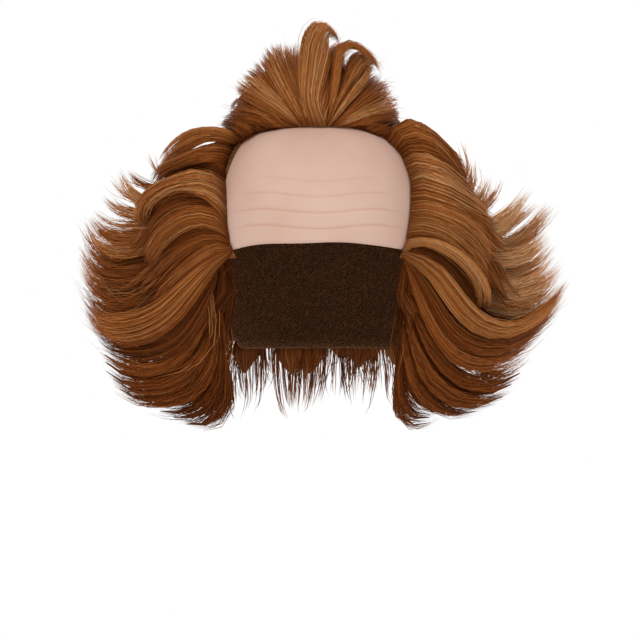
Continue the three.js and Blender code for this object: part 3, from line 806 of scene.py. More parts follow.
packed_fibre, tree, out = new_material("copper_modacrylic_packed")
place = add_node(tree, "ShaderNodeAttribute", {"attribute_name": "fibre_place"})
parts = add_node(tree, "ShaderNodeSeparateXYZ", links={"Vector": place.outputs["Vector"]})
toned = add_node(tree, "ShaderNodeAttribute", {"attribute_name": "fibre_tone"})
stretch = add_node(
    tree,
    "ShaderNodeVectorMath",
    {"operation": "MULTIPLY"},
    {1: (1.4, 0.02, 0.0)},
    {0: place.outputs["Vector"]},
)
streaks = add_node(
    tree,
    "ShaderNodeTexNoise",
    {"noise_dimensions": "2D"},
    {"Scale": 1.0, "Detail": 3.0, "Roughness": 0.7, "Distortion": 0.3},
    {"Vector": stretch.outputs["Vector"]},
)
shift = add_node(
    tree,
    "ShaderNodeMapRange",
    inputs={"From Min": 0.3, "From Max": 0.7, "To Min": -0.3, "To Max": 0.25},
    links={"Value": streaks.outputs["Fac"]},
)
tone = add_node(
    tree,
    "ShaderNodeMath",
    {"operation": "ADD", "use_clamp": True},
    links={0: toned.outputs["Fac"], 1: shift.outputs[0]},
)
# Painted shade: the packed middles are darkened along the streaks' dark parts, as shade in the gaps between
# their strands
shadows = ((0.3, (0.35, 0.33, 0.32)), (0.55, (0.85, 0.85, 0.85)))
gap_shadows = add_node(tree, "ShaderNodeValToRGB", links={"Fac": streaks.outputs["Fac"]}, stops=shadows)
dye_and_painted_light = coloured_with_painted_light(tree, tone.outputs[0], parts.outputs["Z"])
shaded = {"A": dye_and_painted_light, "B": gap_shadows.outputs["Color"]}
dye_and_painted_light = add_node(tree, "ShaderNodeMix", MULTIPLY, {"Factor": 1.0}, shaded).outputs["Result"]
grain = add_node(
    tree,
    "ShaderNodeBump",
    inputs={"Strength": 0.8, "Distance": 0.0006},
    links={"Height": streaks.outputs["Fac"]},
)
fibre = add_node(
    tree,
    "ShaderNodeBsdfPrincipled",
    inputs={"Roughness": 0.5, "IOR": 1.5, "Specular IOR Level": 0.2, "Specular Tint": COPPER_SHEEN},
    links={"Base Color": dye_and_painted_light, "Normal": grain.outputs["Normal"]},
)
tree.links.new(fibre.outputs[0], out.inputs[0])


LOWEST_ROOT_UP = -101  # where the cap's edge is cut up over the ears
Traced = namedtuple("Traced", "thick strands tone push clumps upper lower")


def traced(*rows):
    """Locks traced in the front view. Their edges run on as across, down, across, down in picture steps."""
    return [Traced(*row) for row in rows]


def as_pairs(marks):
    """Marks as rows of across and down."""
    return np.reshape(np.asarray(marks, float), (-1, 2))


def front_path(marks, depths, root, push=0.0):
    """A lock's path from its root, through places seen in front with depths by the share of the way."""
    marks = as_pairs(marks)
    share = np.concatenate([[0], np.cumsum(np.linalg.norm(np.diff(marks, axis=0), axis=1))])
    share /= share[-1]
    profile_at = [0] + [d[0] for d in depths]
    profile = [root[1]] + [d[1] + push for d in depths]
    depth = np.interp(share, profile_at, profile)
    return smooth_path([root] + [seen(*marks[k], depth[k]) for k in range(1, len(marks))])


def on_outline(point):
    """A root moved just outside the bald front, onto the cap."""
    edge = float(front_half_width(point[2])) - 0.5 if point[2] < HAIRLINE_UP else 0
    across = math.copysign(max(abs(point[0]), edge), point[0])
    return face_point(across, point[2], 1.9)


def traced_lock(entry, depths, facing, side_turn=None, scatter=0.0):
    """A lock between two edges traced in the front view, with its root on the cap."""
    push = entry.push + RNG.uniform(-scatter, scatter)
    edges = []
    for marks in (entry.upper, entry.lower):
        first = as_pairs(marks)[0]
        if side_turn is None:
            root = on_outline(root_place(*first))
        else:
            side = -1 if first[0] < STEPS / 2 else 1
            root = head_point(side * side_turn, max(seen(*first, 0)[2], LOWEST_ROOT_UP), CAP_WALL)
        edges.append(front_path(marks, depths, root, push))
    return edged_lock(*edges, entry.thick, entry.tone, facing)


def even_marks(marks, count=9):
    """Marks at even steps along a line of marks."""
    marks = as_pairs(marks)
    run = np.concatenate([[0], np.cumsum(np.linalg.norm(np.diff(marks, axis=0), axis=1))])
    return np.stack([np.interp(np.linspace(0, run[-1], count), run, marks[:, i]) for i in (0, 1)], axis=1)


def between(locks):
    """Locks behind the seams of neighbouring traced ones that are wide enough to meet, made darker as painted
    shade in the seams.
    """
    wide = [lock.strands >= 90 for lock in locks]
    middles = [(even_marks(lock.upper) + even_marks(lock.lower)) / 2 for lock in locks]
    fills = []
    for k in range(len(locks) - 1):
        if wide[k] and wide[k + 1]:
            # Painted shade: a darker tone than either neighbour
            tone = max(min(locks[k].tone, locks[k + 1].tone) - 8, 6)
            fills.append(Traced(9, 46, tone, 7, 5, middles[k], middles[k + 1]))
    return fills


# How high the hair behind the traced locks may stand, seen from the front, in steps of the picture
TUFT_TOP = (
    205, 160, 230, 134, 244, 110, 252, 88, 264, 68, 280, 54, 340, 54, 365, 80, 378, 92, 388, 116,
    408, 146
)
TUFT_FACING = (0, -1, 0.15)
TUFT_DEPTHS = ((0.35, -68), (0.7, -58), (1.0, -36))
# Thickness in mm, strands, tone, push back in mm, clumps, then the upper edge and the lower edge
# The tones are dye with painted shade: locks that lie in creases and hollows are given darker ones
TUFT_LEFT = traced(
    (8, 90, 18, 6, 3,
     (262, 129, 250, 125, 238, 122, 226, 122),
     (244, 138, 238, 133, 232, 130, 224, 128)),
    (9, 170, 28, 2, 5,
     (300, 126, 280, 117, 262, 108, 248, 103, 238, 99),
     (272, 127, 258, 124, 246, 122, 234, 122, 223, 123)),
    (10, 210, 42, 0, 6,
     (303, 126, 288, 109, 272, 93, 258, 79, 248, 72),
     (299, 126, 279, 116, 260, 106, 246, 96, 235, 86)),
    (9, 150, 32, 4, 4,
     (305, 126, 292, 108, 279, 90, 268, 73, 260, 61),
     (302, 126, 287, 110, 271, 94, 259, 80, 250, 71)),
    (12, 210, 37, 0, 5,
     (308, 126, 299, 100, 290, 78, 281, 58, 274, 47),
     (303, 126, 288, 106, 276, 86, 268, 66, 263, 55)),
    (10, 190, 37, 3, 5,
     (311, 126, 304, 98, 300, 74, 298, 54, 299, 41),
     (307, 126, 297, 100, 286, 76, 278, 56, 274, 46)),
)
TUFT_RIGHT = traced(
    (10, 150, 40, 1, 4,
     (317, 126, 321, 98, 326, 72, 329, 55, 333, 46, 341, 42),
     (321, 126, 329, 98, 334, 74, 336, 60, 338, 52, 345, 46)),
    (10, 170, 38, 2, 5,
     (325, 126, 337, 98, 345, 76, 350, 62, 357, 54, 366, 54, 376, 62),
     (328, 126, 342, 102, 353, 84, 362, 72, 367, 66, 372, 63, 379, 66)),
    (11, 170, 50, 0, 4,
     (328, 126, 342, 104, 355, 84, 364, 70, 370, 61),
     (330, 126, 345, 108, 358, 92, 365, 80, 372, 71)),
    (9, 120, 18, 5, 4,
     (330, 126, 347, 108, 359, 93, 366, 82, 371, 74),
     (332, 126, 350, 112, 364, 100, 374, 90, 384, 82)),
    (10, 160, 34, 1, 5,
     (331, 126, 348, 110, 363, 96, 376, 85, 386, 80),
     (334, 126, 353, 116, 369, 107, 382, 99, 392, 94)),
    (10, 160, 43, 0, 5,
     (333, 126, 352, 115, 370, 106, 383, 99, 394, 95),
     (338, 126, 357, 121, 373, 117, 386, 114, 398, 110)),
    (9, 140, 28, 2, 5,
     (336, 126, 356, 120, 373, 116, 387, 113, 400, 110),
     (348, 125, 362, 124, 375, 124, 386, 123, 396, 121)),
    (8, 90, 18, 6, 3,
     (352, 126, 366, 125, 380, 126, 394, 126),
     (382, 137, 388, 133, 394, 130, 400, 129)),
)
CURL_DEPTHS = ((0.3, -71), (0.6, -66), (1.0, -48))
TUFT_CURLS = traced(
    (8, 140, 35, 0, 3,
     (322, 126, 330, 98, 333, 72, 335, 54, 340, 45, 348, 41, 357, 43, 367, 49, 377, 59, 385, 73),
     (326, 126, 335, 100, 340, 76, 341, 60, 345, 51, 351, 48, 358, 50, 366, 57, 374, 65, 381, 75)),
    (11, 320, 48, -2, 4,
     (309, 126, 302, 100, 301, 75, 302, 52, 304, 37, 310, 26, 317, 21, 327, 24, 335, 31, 340, 39, 342, 46),
     (318, 126, 320, 100, 325, 75, 328, 58, 326, 46, 325, 38, 328, 34, 333, 39, 336, 46, 338, 50)),
)
# Painted highlight: a band of light-toned strands at the middle of the tuft's base, where the gathered hair
# catches the light
LIGHT_GATHERED_BAND = Traced(
    4, 110, 50, -4, 8,
    (303, 126, 299, 114, 295, 103, 290, 92),
    (332, 126, 336, 114, 341, 103, 347, 92),
)

# How the strands of each kind of lock are dressed
BRUSHED = dict(steps=8, fray=1.1, reach=(0.88, 1.08), gather=0.1, sway=1.2, spill=1.2, fibre=0.24)
FRIZZ = dict(steps=10, fray=3.4, reach=(0.8, 1.1), clumps=9, gather=0.1, sway=3.2, spill=1.2, fibre=0.14)
CURLED = dict(steps=12, fray=0.6, reach=(0.84, 1.0), gather=0.5, sway=0.8, spill=1.1)
FLYAWAY = dict(steps=12, fray=2.4, reach=(0.6, 1.02), clumps=5, gather=0.1, sway=1.0, spill=1.3, fibre=0.16)
PULLED = dict(steps=7, fray=0.4, reach=(0.5, 1.0), gather=0.2, sway=0.5, spill=1.0, fibre=0.2)
FRIZZ_STRANDS = 26
FLYAWAY_STRANDS = 16

tuft_strands, tuft_locks = [], []
for group in (TUFT_LEFT, TUFT_RIGHT):
    for entry in (*group, *between(group)):
        lock = traced_lock(entry, TUFT_DEPTHS, TUFT_FACING)
        count, clumps = int(entry.strands * 0.92), entry.clumps + 3
        tuft_strands.append(strand_lines(lock, count, clumps=clumps, **BRUSHED))
        tuft_strands.append(strand_lines(lock, FRIZZ_STRANDS, **FRIZZ))
        lock.filled = 0.66
        tuft_locks.append(lock)
for entry in TUFT_CURLS:
    lock = traced_lock(entry, CURL_DEPTHS, TUFT_FACING)
    tuft_strands.append(strand_lines(lock, entry.strands, clumps=entry.clumps, **CURLED))
    tuft_strands.append(strand_lines(lock, FLYAWAY_STRANDS, **FLYAWAY))
    tuft_locks.append(lock)
lock = traced_lock(LIGHT_GATHERED_BAND, ((1.0, -69),), TUFT_FACING)
tuft_strands.append(strand_lines(lock, LIGHT_GATHERED_BAND.strands, clumps=LIGHT_GATHERED_BAND.clumps, **PULLED))


def kept_below(path, outline, margin):
    """A path with its highest places lowered until they hide behind an outline seen from the front."""
    path = path.copy()
    share = (path[:, 1] + EYE_DISTANCE) / EYE_DISTANCE
    across = (path[:, 0] - EYE_ACROSS) / (STEP * share) + STEPS / 2
    down = np.interp(across, *as_pairs(outline).T)
    top = EYE_UP + (STEPS / 2 - down) * STEP * share - margin
    excess = np.maximum(path[:, 2] - top, 0)
    path[:, 2] -= excess
    return path


# Rows behind the front one: each lock rises from the cap and lies back over the crown
CROWN_ROWS = (
    # root_back, rise_back, rise_up, lie_back, lie_up, end_back, end_up
    (-50, -42, 32, -20, 42, 4, 44),
    (-42, -30, 38, -2, 43, 28, 40),
    (-28, -14, 40, 22, 40, 52, 30),
    (-8, 8, 34, 44, 30, 76, 14),
    (14, 32, 26, 68, 18, 98, -4),
    (38, 56, 12, 90, 0, 114, -28),
)
CROWN_ACROSS = (-0.9, -0.68, -0.44, -0.22, 0.0, 0.22, 0.44, 0.68, 0.9)
CROWN_HALF_WIDTH = 66
CROWN_WRAP = 26
CROWN_DROP = 46
CROWN_STRANDS = 28
LAID_BACK = dict(steps=8, reach=(0.66, 1.04), clumps=5, gather=0.3, spill=1.2, fibre=0.34)


def cap_top_up(x, y):
    """Height of the cap's outside at a place on the crown."""
    turn = math.degrees(math.atan2(x, -y))
    low, high = -70.0, 0.0
    for _ in range(20):
        middle = (low + high) / 2
        reach = np.linalg.norm(head_point(turn, middle, CAP_WALL)[:2])
        low, high = (middle, high) if reach > math.hypot(x, y) else (low, middle)
    return (low + high) / 2


crown_strands = []
for row, (row_back, rise_back, rise_up, lie_back, lie_up, end_back, end_up) in enumerate(CROWN_ROWS):
    for mark in CROWN_ACROSS:
        side = mark + (0.11 if row % 2 else -0.02) * (1 if mark < 0.8 else -1)
        x = side * CROWN_HALF_WIDTH
        # The outer locks of a row stand further back and lower, behind the tuft's wings
        wrap = CROWN_WRAP * side**4
        root_back = row_back + wrap
        spread = 1 + 0.12 * row / 5
        drop = CROWN_DROP * abs(side) ** 2.2
        # The rear rows fan out, down and forward over the layers below them
        fan = side * max(row - 1, 0) / 4
        places = [
            (x, root_back, cap_top_up(x, root_back) + 1),
            (x * 1.06 * spread + RNG.normal(0, 2), rise_back + wrap, rise_up - drop + RNG.normal(0, 2)),
            (x * 1.12 * spread + fan * 14, lie_back - abs(fan) * 4, lie_up - drop * 1.1 - abs(fan) * 4),
            (x * 1.14 * spread + fan * 36, end_back - abs(fan) * 12, end_up - drop * 1.1 - abs(fan) * 26),
        ]
        places = [np.add(place, RNG.normal(0, 2.5, 3) * (k > 1)) for k, place in enumerate(places)]
        path = kept_below(smooth_path(places), TUFT_TOP, 15 if row < 3 else 9)
        lock = round_lock(path, 24 + 9 * abs(side), 16, int(RNG.integers(26, 48)), (x / 60, 0.1, 1))
        fray = 0.5 if row < 2 else 1.1
        crown_strands.append(strand_lines(lock, CROWN_STRANDS, fray=fray, sway=1.4 * fray, **LAID_BACK))
        tuft_locks.append(lock)

tuft = strand_mesh("crown_tuft_strands", tuft_strands, strand_fibre)
crown = strand_mesh("crown_top_strands", crown_strands, strand_fibre)
tuft_body = body_mesh("crown_tuft_body", tuft_locks, packed_fibre)
for piece in (tuft, crown, tuft_body):
    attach(piece, "root")
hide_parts("crown_tuft")


# The side hair
# Temple hair on each side of the bald front. Waves start along its edge, roll outwards and tuck in at a
# crease. Longer hair behind them flicks out and up in pointed wisps, and the lowest hair curls out.
FRONT_FACING = (0, -1, 0.45)
WAVE_DEPTHS = ((0.3, -66), (0.55, -56), (0.8, -42), (1.0, -28))
SWEEP_DEPTHS = ((0.3, -60), (0.6, -44), (0.85, -24), (1.0, -10))
FALL_DEPTHS = ((0.35, -32), (0.7, -24), (1.0, -8))
HOLLOW_DEPTHS = ((0.3, -62), (0.6, -48), (1.0, -28))
FLICK_DEPTHS = ((0.4, -16), (1.0, 4))

# Thickness in mm, strands, tone, push back in mm, clumps, then the upper edge and the lower edge
# The tones are dye with painted shade: locks that lie in creases and hollows are given darker ones
LEFT_WAVES = traced(
    (9, 150, 36, 0, 6,
     (244, 139, 230, 131, 213, 128, 196, 130, 182, 136, 171, 146, 163, 157, 157, 168),
     (233, 147, 221, 141, 207, 141, 195, 146, 184, 152, 174, 160, 165, 168, 158, 176)),
    (8, 140, 30, 2, 6,
     (234, 147, 222, 144, 208, 145, 195, 150, 182, 155, 169, 161, 158, 169, 151, 181),
     (226, 167, 215, 161, 202, 161, 189, 164, 176, 170, 165, 176, 157, 182, 152, 190)),
    (6, 80, 12, 8, 5,
     (230, 157, 215, 154, 200, 157, 185, 162, 172, 168, 162, 176, 155, 186),
     (225, 179, 213, 171, 200, 168, 186, 169, 172, 174, 161, 181, 154, 191)),
    (7, 120, 18, 4, 6,
     (226, 200, 212, 194, 198, 191, 184, 192, 171, 197, 160, 205, 152, 214, 149, 224),
     (227, 223, 213, 213, 199, 208, 186, 209, 174, 214, 163, 221, 155, 228, 151, 232)),
    (12, 270, 42, -2, 5,
     (225, 182, 214, 175, 200, 171, 187, 171, 173, 175, 158, 182, 146, 190, 138, 200, 135, 211, 138, 222,
      147, 229),
     (227, 222, 214, 205, 200, 195, 186, 190, 173, 192, 162, 197, 154, 203, 149, 210, 147, 217, 148, 223,
      151, 229)),
    (10, 200, 36, 0, 6,
     (228, 218, 214, 209, 199, 206, 184, 209, 171, 216, 160, 226, 151, 240, 146, 254, 146, 264),
     (229, 240, 215, 229, 200, 226, 186, 230, 173, 238, 163, 248, 155, 259, 150, 270, 149, 278)),
    (8, 150, 22, 3, 6,
     (229, 236, 215, 231, 200, 232, 186, 238, 173, 247, 162, 258, 154, 270, 149, 283),
     (230, 249, 216, 245, 202, 248, 189, 256, 177, 266, 166, 277, 157, 288, 150, 299)),
    (8, 140, 30, 1, 6,
     (231, 245, 216, 243, 203, 248, 190, 257, 178, 268, 167, 280, 157, 292, 148, 302),
     (232, 253, 217, 254, 205, 262, 193, 272, 181, 283, 169, 294, 157, 304, 146, 311)),
)
LEFT_SWEEPS = traced(
    (11, 280, 40, -2, 6,
     (233, 249, 216, 256, 200, 267, 184, 280, 169, 294, 153, 306, 135, 313, 116, 316, 100, 313, 89, 301,
      83, 288),
     (231, 254, 217, 268, 204, 286, 190, 306, 174, 324, 155, 337, 136, 343, 118, 343, 104, 336, 94, 325,
      86, 314)),
    (8, 160, 12, 8, 5,
     (222, 260, 208, 288, 195, 312, 179, 331, 157, 343, 134, 346, 114, 344, 98, 335, 87, 323),
     (218, 268, 208, 305, 198, 330, 184, 348, 164, 360, 142, 364, 125, 361, 108, 353, 95, 341)),
)
LEFT_FALLS = traced(
    (10, 170, 24, -6, 5,
     (218, 262, 207, 300, 195, 324, 182, 345, 165, 359, 147, 365, 129, 362, 112, 353, 96, 340),
     (216, 272, 208, 312, 199, 340, 186, 360, 167, 373, 147, 377, 127, 374, 110, 366, 93, 351)),
    (10, 180, 18, -4, 5,
     (216, 268, 210, 310, 202, 342, 188, 363, 168, 376, 147, 380, 126, 377, 109, 369, 95, 353),
     (215, 276, 213, 325, 208, 356, 194, 379, 173, 391, 150, 394, 128, 390, 111, 381, 99, 364)),
    (10, 170, 14, 0, 5,
     (215, 272, 213, 322, 208, 356, 193, 380, 171, 392, 150, 395, 131, 391, 116, 381, 106, 370),
     (214, 282, 217, 340, 214, 372, 201, 393, 181, 403, 160, 406, 140, 404, 123, 396, 109, 387)),
    (10, 150, 6, 4, 5,
     (214, 278, 217, 335, 214, 370, 201, 393, 181, 405, 161, 407, 143, 404),
     (214, 290, 223, 352, 223, 384, 212, 405, 193, 416, 173, 418, 151, 413)),
    (10, 140, 5, 8, 4,
     (213, 285, 222, 350, 223, 384, 212, 407, 195, 418, 179, 419, 165, 415),
     (213, 300, 229, 366, 235, 396, 229, 418, 214, 430, 198, 430, 182, 424)),
)
LEFT_FLICKS = traced(
    (2, 12, 56, 0, 2,
     (172, 165, 160, 172, 153, 163, 148, 150, 147, 141),
     (172, 168, 161, 176, 155, 167, 150, 156, 149, 147)),
    (4, 64, 32, 0, 2,
     (172, 182, 156, 186, 144, 182, 134, 177, 127, 170),
     (172, 190, 156, 191, 145, 188, 136, 183, 128, 173)),
    (5, 80, 62, -2, 2,
     (172, 195, 152, 200, 138, 192, 126, 180, 118, 166),
     (172, 212, 152, 214, 139, 206, 129, 196, 120, 175)),
    (3, 24, 54, 0, 1,
     (172, 204, 150, 206, 132, 199, 118, 189, 108, 176),
     (172, 208, 150, 210, 134, 203, 120, 194, 109, 180)),
    (5, 70, 40, 0, 2,
     (172, 212, 152, 214, 134, 209, 116, 205, 100, 192),
     (172, 222, 152, 222, 134, 217, 116, 212, 102, 199)),
    (3, 24, 40, 0, 1,
     (172, 218, 152, 222, 134, 217, 118, 211, 106, 202),
     (172, 224, 152, 226, 136, 222, 120, 216, 108, 207)),
    (8, 240, 42, 0, 6,
     (178, 222, 147, 224, 130, 225, 114, 223, 100, 216, 89, 204),
     (178, 250, 147, 252, 129, 256, 113, 255, 98, 246, 85, 226)),
    (8, 240, 32, 2, 6,
     (178, 244, 147, 246, 129, 252, 112, 252, 96, 242, 84, 222),
     (178, 276, 147, 277, 129, 281, 111, 281, 94, 271, 79, 245)),
    (8, 220, 48, 0, 6,
     (178, 268, 147, 270, 129, 275, 111, 276, 94, 266, 79, 244),
     (178, 298, 147, 300, 129, 304, 112, 304, 95, 295, 80, 273)),
    (8, 200, 24, 3, 6,
     (178, 290, 150, 292, 131, 298, 113, 300, 96, 291, 80, 269),
     (172, 314, 148, 316, 129, 322, 111, 322, 95, 314, 81, 293)),
    (7, 140, 38, 3, 5,
     (172, 306, 150, 312, 131, 318, 113, 320, 96, 312, 81, 299),
     (165, 330, 146, 336, 128, 342, 112, 342, 97, 334, 82, 317)),
)
RIGHT_WAVES = traced(
    (9, 210, 35, 4, 6,
     (386, 139, 396, 126, 409, 120, 424, 126, 437, 137, 449, 149, 458, 161, 465, 173, 470, 186),
     (398, 150, 406, 139, 418, 137, 430, 144, 441, 154, 451, 165, 459, 176, 465, 186, 470, 194)),
    (7, 120, 27, 4, 5,
     (400, 153, 413, 147, 427, 150, 440, 158, 452, 168, 461, 180, 468, 192),
     (404, 162, 417, 158, 430, 160, 443, 168, 454, 178, 463, 189, 471, 199)),
    (9, 190, 47, 1, 6,
     (402, 157, 415, 152, 428, 155, 441, 163, 453, 175, 464, 187, 474, 198, 480, 206),
     (410, 176, 422, 171, 435, 175, 447, 183, 459, 192, 470, 200, 479, 208, 485, 214)),
    (9, 180, 49, 0, 6,
     (410, 172, 423, 168, 437, 173, 450, 181, 463, 190, 474, 199, 483, 208, 490, 217),
     (412, 194, 426, 191, 440, 195, 454, 202, 467, 209, 479, 216, 489, 223, 496, 230)),
    (9, 180, 37, 1, 5,
     (411, 188, 426, 188, 441, 194, 455, 201, 468, 208, 480, 215, 490, 223, 497, 232),
     (411, 208, 427, 206, 442, 209, 457, 215, 470, 223, 481, 230, 490, 236, 496, 240)),
    (9, 190, 47, 0, 6,
     (411, 203, 428, 202, 444, 206, 459, 213, 472, 222, 482, 234, 488, 248, 490, 262),
     (408, 224, 425, 223, 441, 228, 455, 236, 467, 246, 477, 258, 485, 272, 489, 286)),
    (9, 180, 41, 1, 6,
     (409, 219, 426, 219, 442, 224, 456, 233, 468, 244, 479, 258, 487, 273, 490, 288),
     (404, 238, 421, 236, 437, 240, 451, 247, 464, 258, 475, 271, 484, 285, 488, 299)),
)
RIGHT_LOOP = traced(
    (8, 210, 50, -5, 3,
     (402, 250, 407, 241, 420, 238, 440, 241, 460, 251, 475, 264, 486, 280, 490, 296, 487, 308, 478, 317),
     (403, 255, 412, 247, 426, 246, 442, 252, 457, 262, 469, 275, 476, 288, 478, 300, 476, 309, 472, 317)),
)
RIGHT_HOLLOW = traced(
    (6, 190, 20, 9, 6,
     (404, 250, 418, 245, 432, 248, 447, 256, 460, 268, 470, 282, 475, 296, 474, 312),
     (404, 254, 416, 254, 430, 261, 443, 273, 454, 288, 462, 300, 469, 312)),
    (5, 80, 30, 7, 6,
     (408, 250, 424, 250, 440, 259, 454, 272, 465, 287, 472, 302, 476, 314),
     (406, 253, 420, 257, 434, 267, 447, 281, 457, 295, 466, 308, 474, 318)),
)
RIGHT_SWEEPS = traced(
    (10, 300, 42, -2, 5,
     (401, 251, 416, 254, 432, 261, 445, 271, 455, 284, 465, 298, 477, 312, 492, 321, 511, 324, 532, 315,
      549, 301, 561, 287, 567, 276),
     (401, 256, 412, 263, 426, 275, 438, 291, 449, 307, 461, 321, 475, 332, 491, 337, 509, 336, 528, 328,
      544, 316, 557, 302, 566, 287)),
    (8, 220, 18, 5, 5,
     (402, 254, 413, 264, 426, 280, 438, 298, 449, 315, 461, 328, 476, 337, 493, 341, 511, 339, 528, 331,
      543, 320, 553, 308),
     (403, 258, 411, 272, 422, 294, 433, 315, 444, 333, 457, 346, 473, 353, 491, 355, 508, 350, 524, 341,
      538, 331, 549, 320)),
    (9, 170, 32, 0, 4,
     (405, 260, 414, 280, 424, 302, 434, 322, 446, 339, 460, 351, 477, 357, 494, 356, 510, 349, 526, 339),
     (406, 264, 413, 290, 422, 315, 432, 336, 444, 353, 459, 365, 476, 370, 494, 368, 511, 361, 527, 351)),
)
RIGHT_FALLS = traced(
    (10, 180, 15, -4, 5,
     (416, 270, 414, 295, 421, 320, 433, 345, 447, 362, 463, 373, 481, 378, 499, 375, 515, 368, 531, 358),
     (417, 280, 414, 305, 420, 333, 431, 358, 446, 377, 462, 388, 480, 392, 498, 391, 516, 384, 532, 371)),
    (10, 170, 17, -2, 5,
     (417, 278, 412, 305, 416, 338, 429, 366, 445, 384, 462, 393, 481, 396, 501, 392, 518, 383),
     (418, 290, 411, 320, 412, 352, 423, 381, 439, 399, 456, 408, 476, 410, 495, 406, 514, 395)),
    (10, 150, 9, 2, 5,
     (418, 288, 410, 320, 410, 352, 420, 382, 436, 400, 454, 408, 473, 409, 490, 403),
     (419, 300, 407, 335, 405, 368, 414, 396, 431, 412, 450, 417, 470, 416, 489, 408)),
    (9, 120, 5, 6, 4,
     (419, 300, 405, 340, 401, 372, 408, 398, 422, 410, 436, 411, 446, 405),
     (420, 310, 402, 350, 396, 382, 400, 406, 411, 416, 424, 418, 437, 414)),
    (7, 100, 11, 9, 3,
     (419, 310, 402, 355, 396, 388, 399, 408, 408, 419, 420, 422, 432, 419, 440, 412),
     (420, 320, 399, 362, 393, 394, 395, 414, 405, 426, 419, 429, 432, 425, 442, 416)),
)
RIGHT_FLICKS = traced(
    (2, 14, 60, 0, 2,
     (452, 160, 462, 178, 466, 170, 464, 155, 461, 137),
     (452, 164, 463, 182, 469, 174, 467, 160, 463, 145)),
    (3, 36, 60, 0, 2,
     (452, 170, 464, 186, 468, 180, 469, 168, 472, 151),
     (454, 180, 466, 194, 473, 190, 474, 174, 475, 157)),
    (5, 60, 62, 0, 2,
     (456, 182, 470, 198, 477, 192, 482, 184, 486, 171),
     (458, 192, 472, 208, 480, 206, 485, 195, 489, 179)),
    (4, 50, 52, 0, 2,
     (458, 190, 474, 206, 482, 202, 491, 192, 500, 175),
     (460, 198, 476, 214, 486, 210, 495, 199, 502, 181)),
    (6, 130, 68, -2, 3,
     (460, 202, 478, 219, 492, 219, 508, 208, 530, 186),
     (462, 216, 480, 234, 496, 234, 514, 219, 533, 193)),
    (5, 70, 56, 0, 3,
     (462, 208, 480, 226, 498, 226, 516, 212, 536, 195),
     (464, 220, 482, 238, 502, 237, 520, 223, 540, 203)),
    (8, 160, 54, -2, 3,
     (466, 220, 486, 238, 506, 238, 528, 223, 549, 200),
     (468, 238, 488, 256, 512, 253, 534, 236, 552, 209)),
    (7, 140, 66, 1, 4,
     (468, 234, 488, 252, 510, 252, 530, 244, 546, 228),
     (470, 248, 489, 266, 512, 266, 534, 256, 551, 237)),
    (8, 170, 67, 0, 5,
     (470, 246, 489, 264, 513, 264, 534, 254, 552, 237),
     (472, 262, 489, 282, 515, 282, 538, 270, 555, 251)),
    (8, 170, 60, 0, 5,
     (472, 260, 489, 278, 515, 280, 539, 270, 557, 252),
     (474, 276, 490, 296, 517, 298, 543, 288, 562, 268)),
    (8, 170, 57, 1, 5,
     (474, 274, 490, 294, 518, 296, 544, 286, 562, 268),
     (476, 290, 491, 312, 519, 316, 545, 304, 565, 283)),
    (7, 110, 32, 4, 4,
     (470, 300, 492, 320, 520, 322, 546, 308, 567, 288),
     (468, 320, 492, 342, 520, 340, 544, 326, 561, 306)),
    (7, 90, 36, 4, 4,
     (466, 320, 492, 342, 515, 340, 535, 328, 553, 315),
     (464, 336, 490, 358, 512, 356, 530, 346, 547, 326)),
    (7, 90, 32, 4, 4,
     (460, 346, 490, 362, 508, 360, 520, 356, 531, 352),
     (456, 366, 486, 384, 506, 378, 518, 370, 528, 359)),
)

# How high the hair behind the traced locks may stand on each side, seen from the front
LEFT_TOP = (
    60, 280, 85, 258, 100, 244, 120, 236, 145, 228, 154, 196, 162, 184, 176, 172, 196, 166, 230, 160
)
RIGHT_TOP = (
    400, 140, 425, 146, 440, 156, 456, 176, 468, 198, 480, 222, 500, 240, 530, 244, 550, 256, 566, 278,
    590, 300
)
OUTLINES = {-1: LEFT_TOP, 1: RIGHT_TOP}

# The tiers of locks behind these: the root's height, then how far out and how high at 0.3, 0.65 and all of
# the way, as shares of the reach out and of the drop down
REACH_LEFT = 160.0
REACH_RIGHT = 168.0
REACH_BACK = 140.0
DROP = 220.0
SIDE_TIERS = np.array(
    [
        [-0.02, 0.4, 0.03, 0.56, -0.03, 0.68, -0.16],
        [-0.05, 0.5, -0.03, 0.64, -0.16, 0.73, -0.26],
        [-0.1, 0.53, -0.14, 0.71, -0.3, 0.82, -0.3],
        [-0.26, 0.62, -0.28, 0.83, -0.43, 0.94, -0.38],
        [-0.43, 0.64, -0.46, 0.84, -0.6, 0.96, -0.52],
        [-0.58, 0.58, -0.65, 0.78, -0.76, 0.91, -0.7],
        [-0.7, 0.46, -0.8, 0.58, -0.9, 0.75, -0.88],
    ]
)
BACK_TIERS = np.array(
    [
        [-0.02, 0.6, 0.02, 0.8, -0.14, 0.9, -0.2],
        [-0.1, 0.68, -0.1, 0.87, -0.26, 0.96, -0.28],
        [-0.3, 0.83, -0.34, 0.96, -0.52, 1.0, -0.5],
        [-0.52, 0.78, -0.6, 0.9, -0.76, 0.96, -0.74],
        [-0.72, 0.66, -0.83, 0.7, -0.95, 0.76, -1.0],
    ]
)


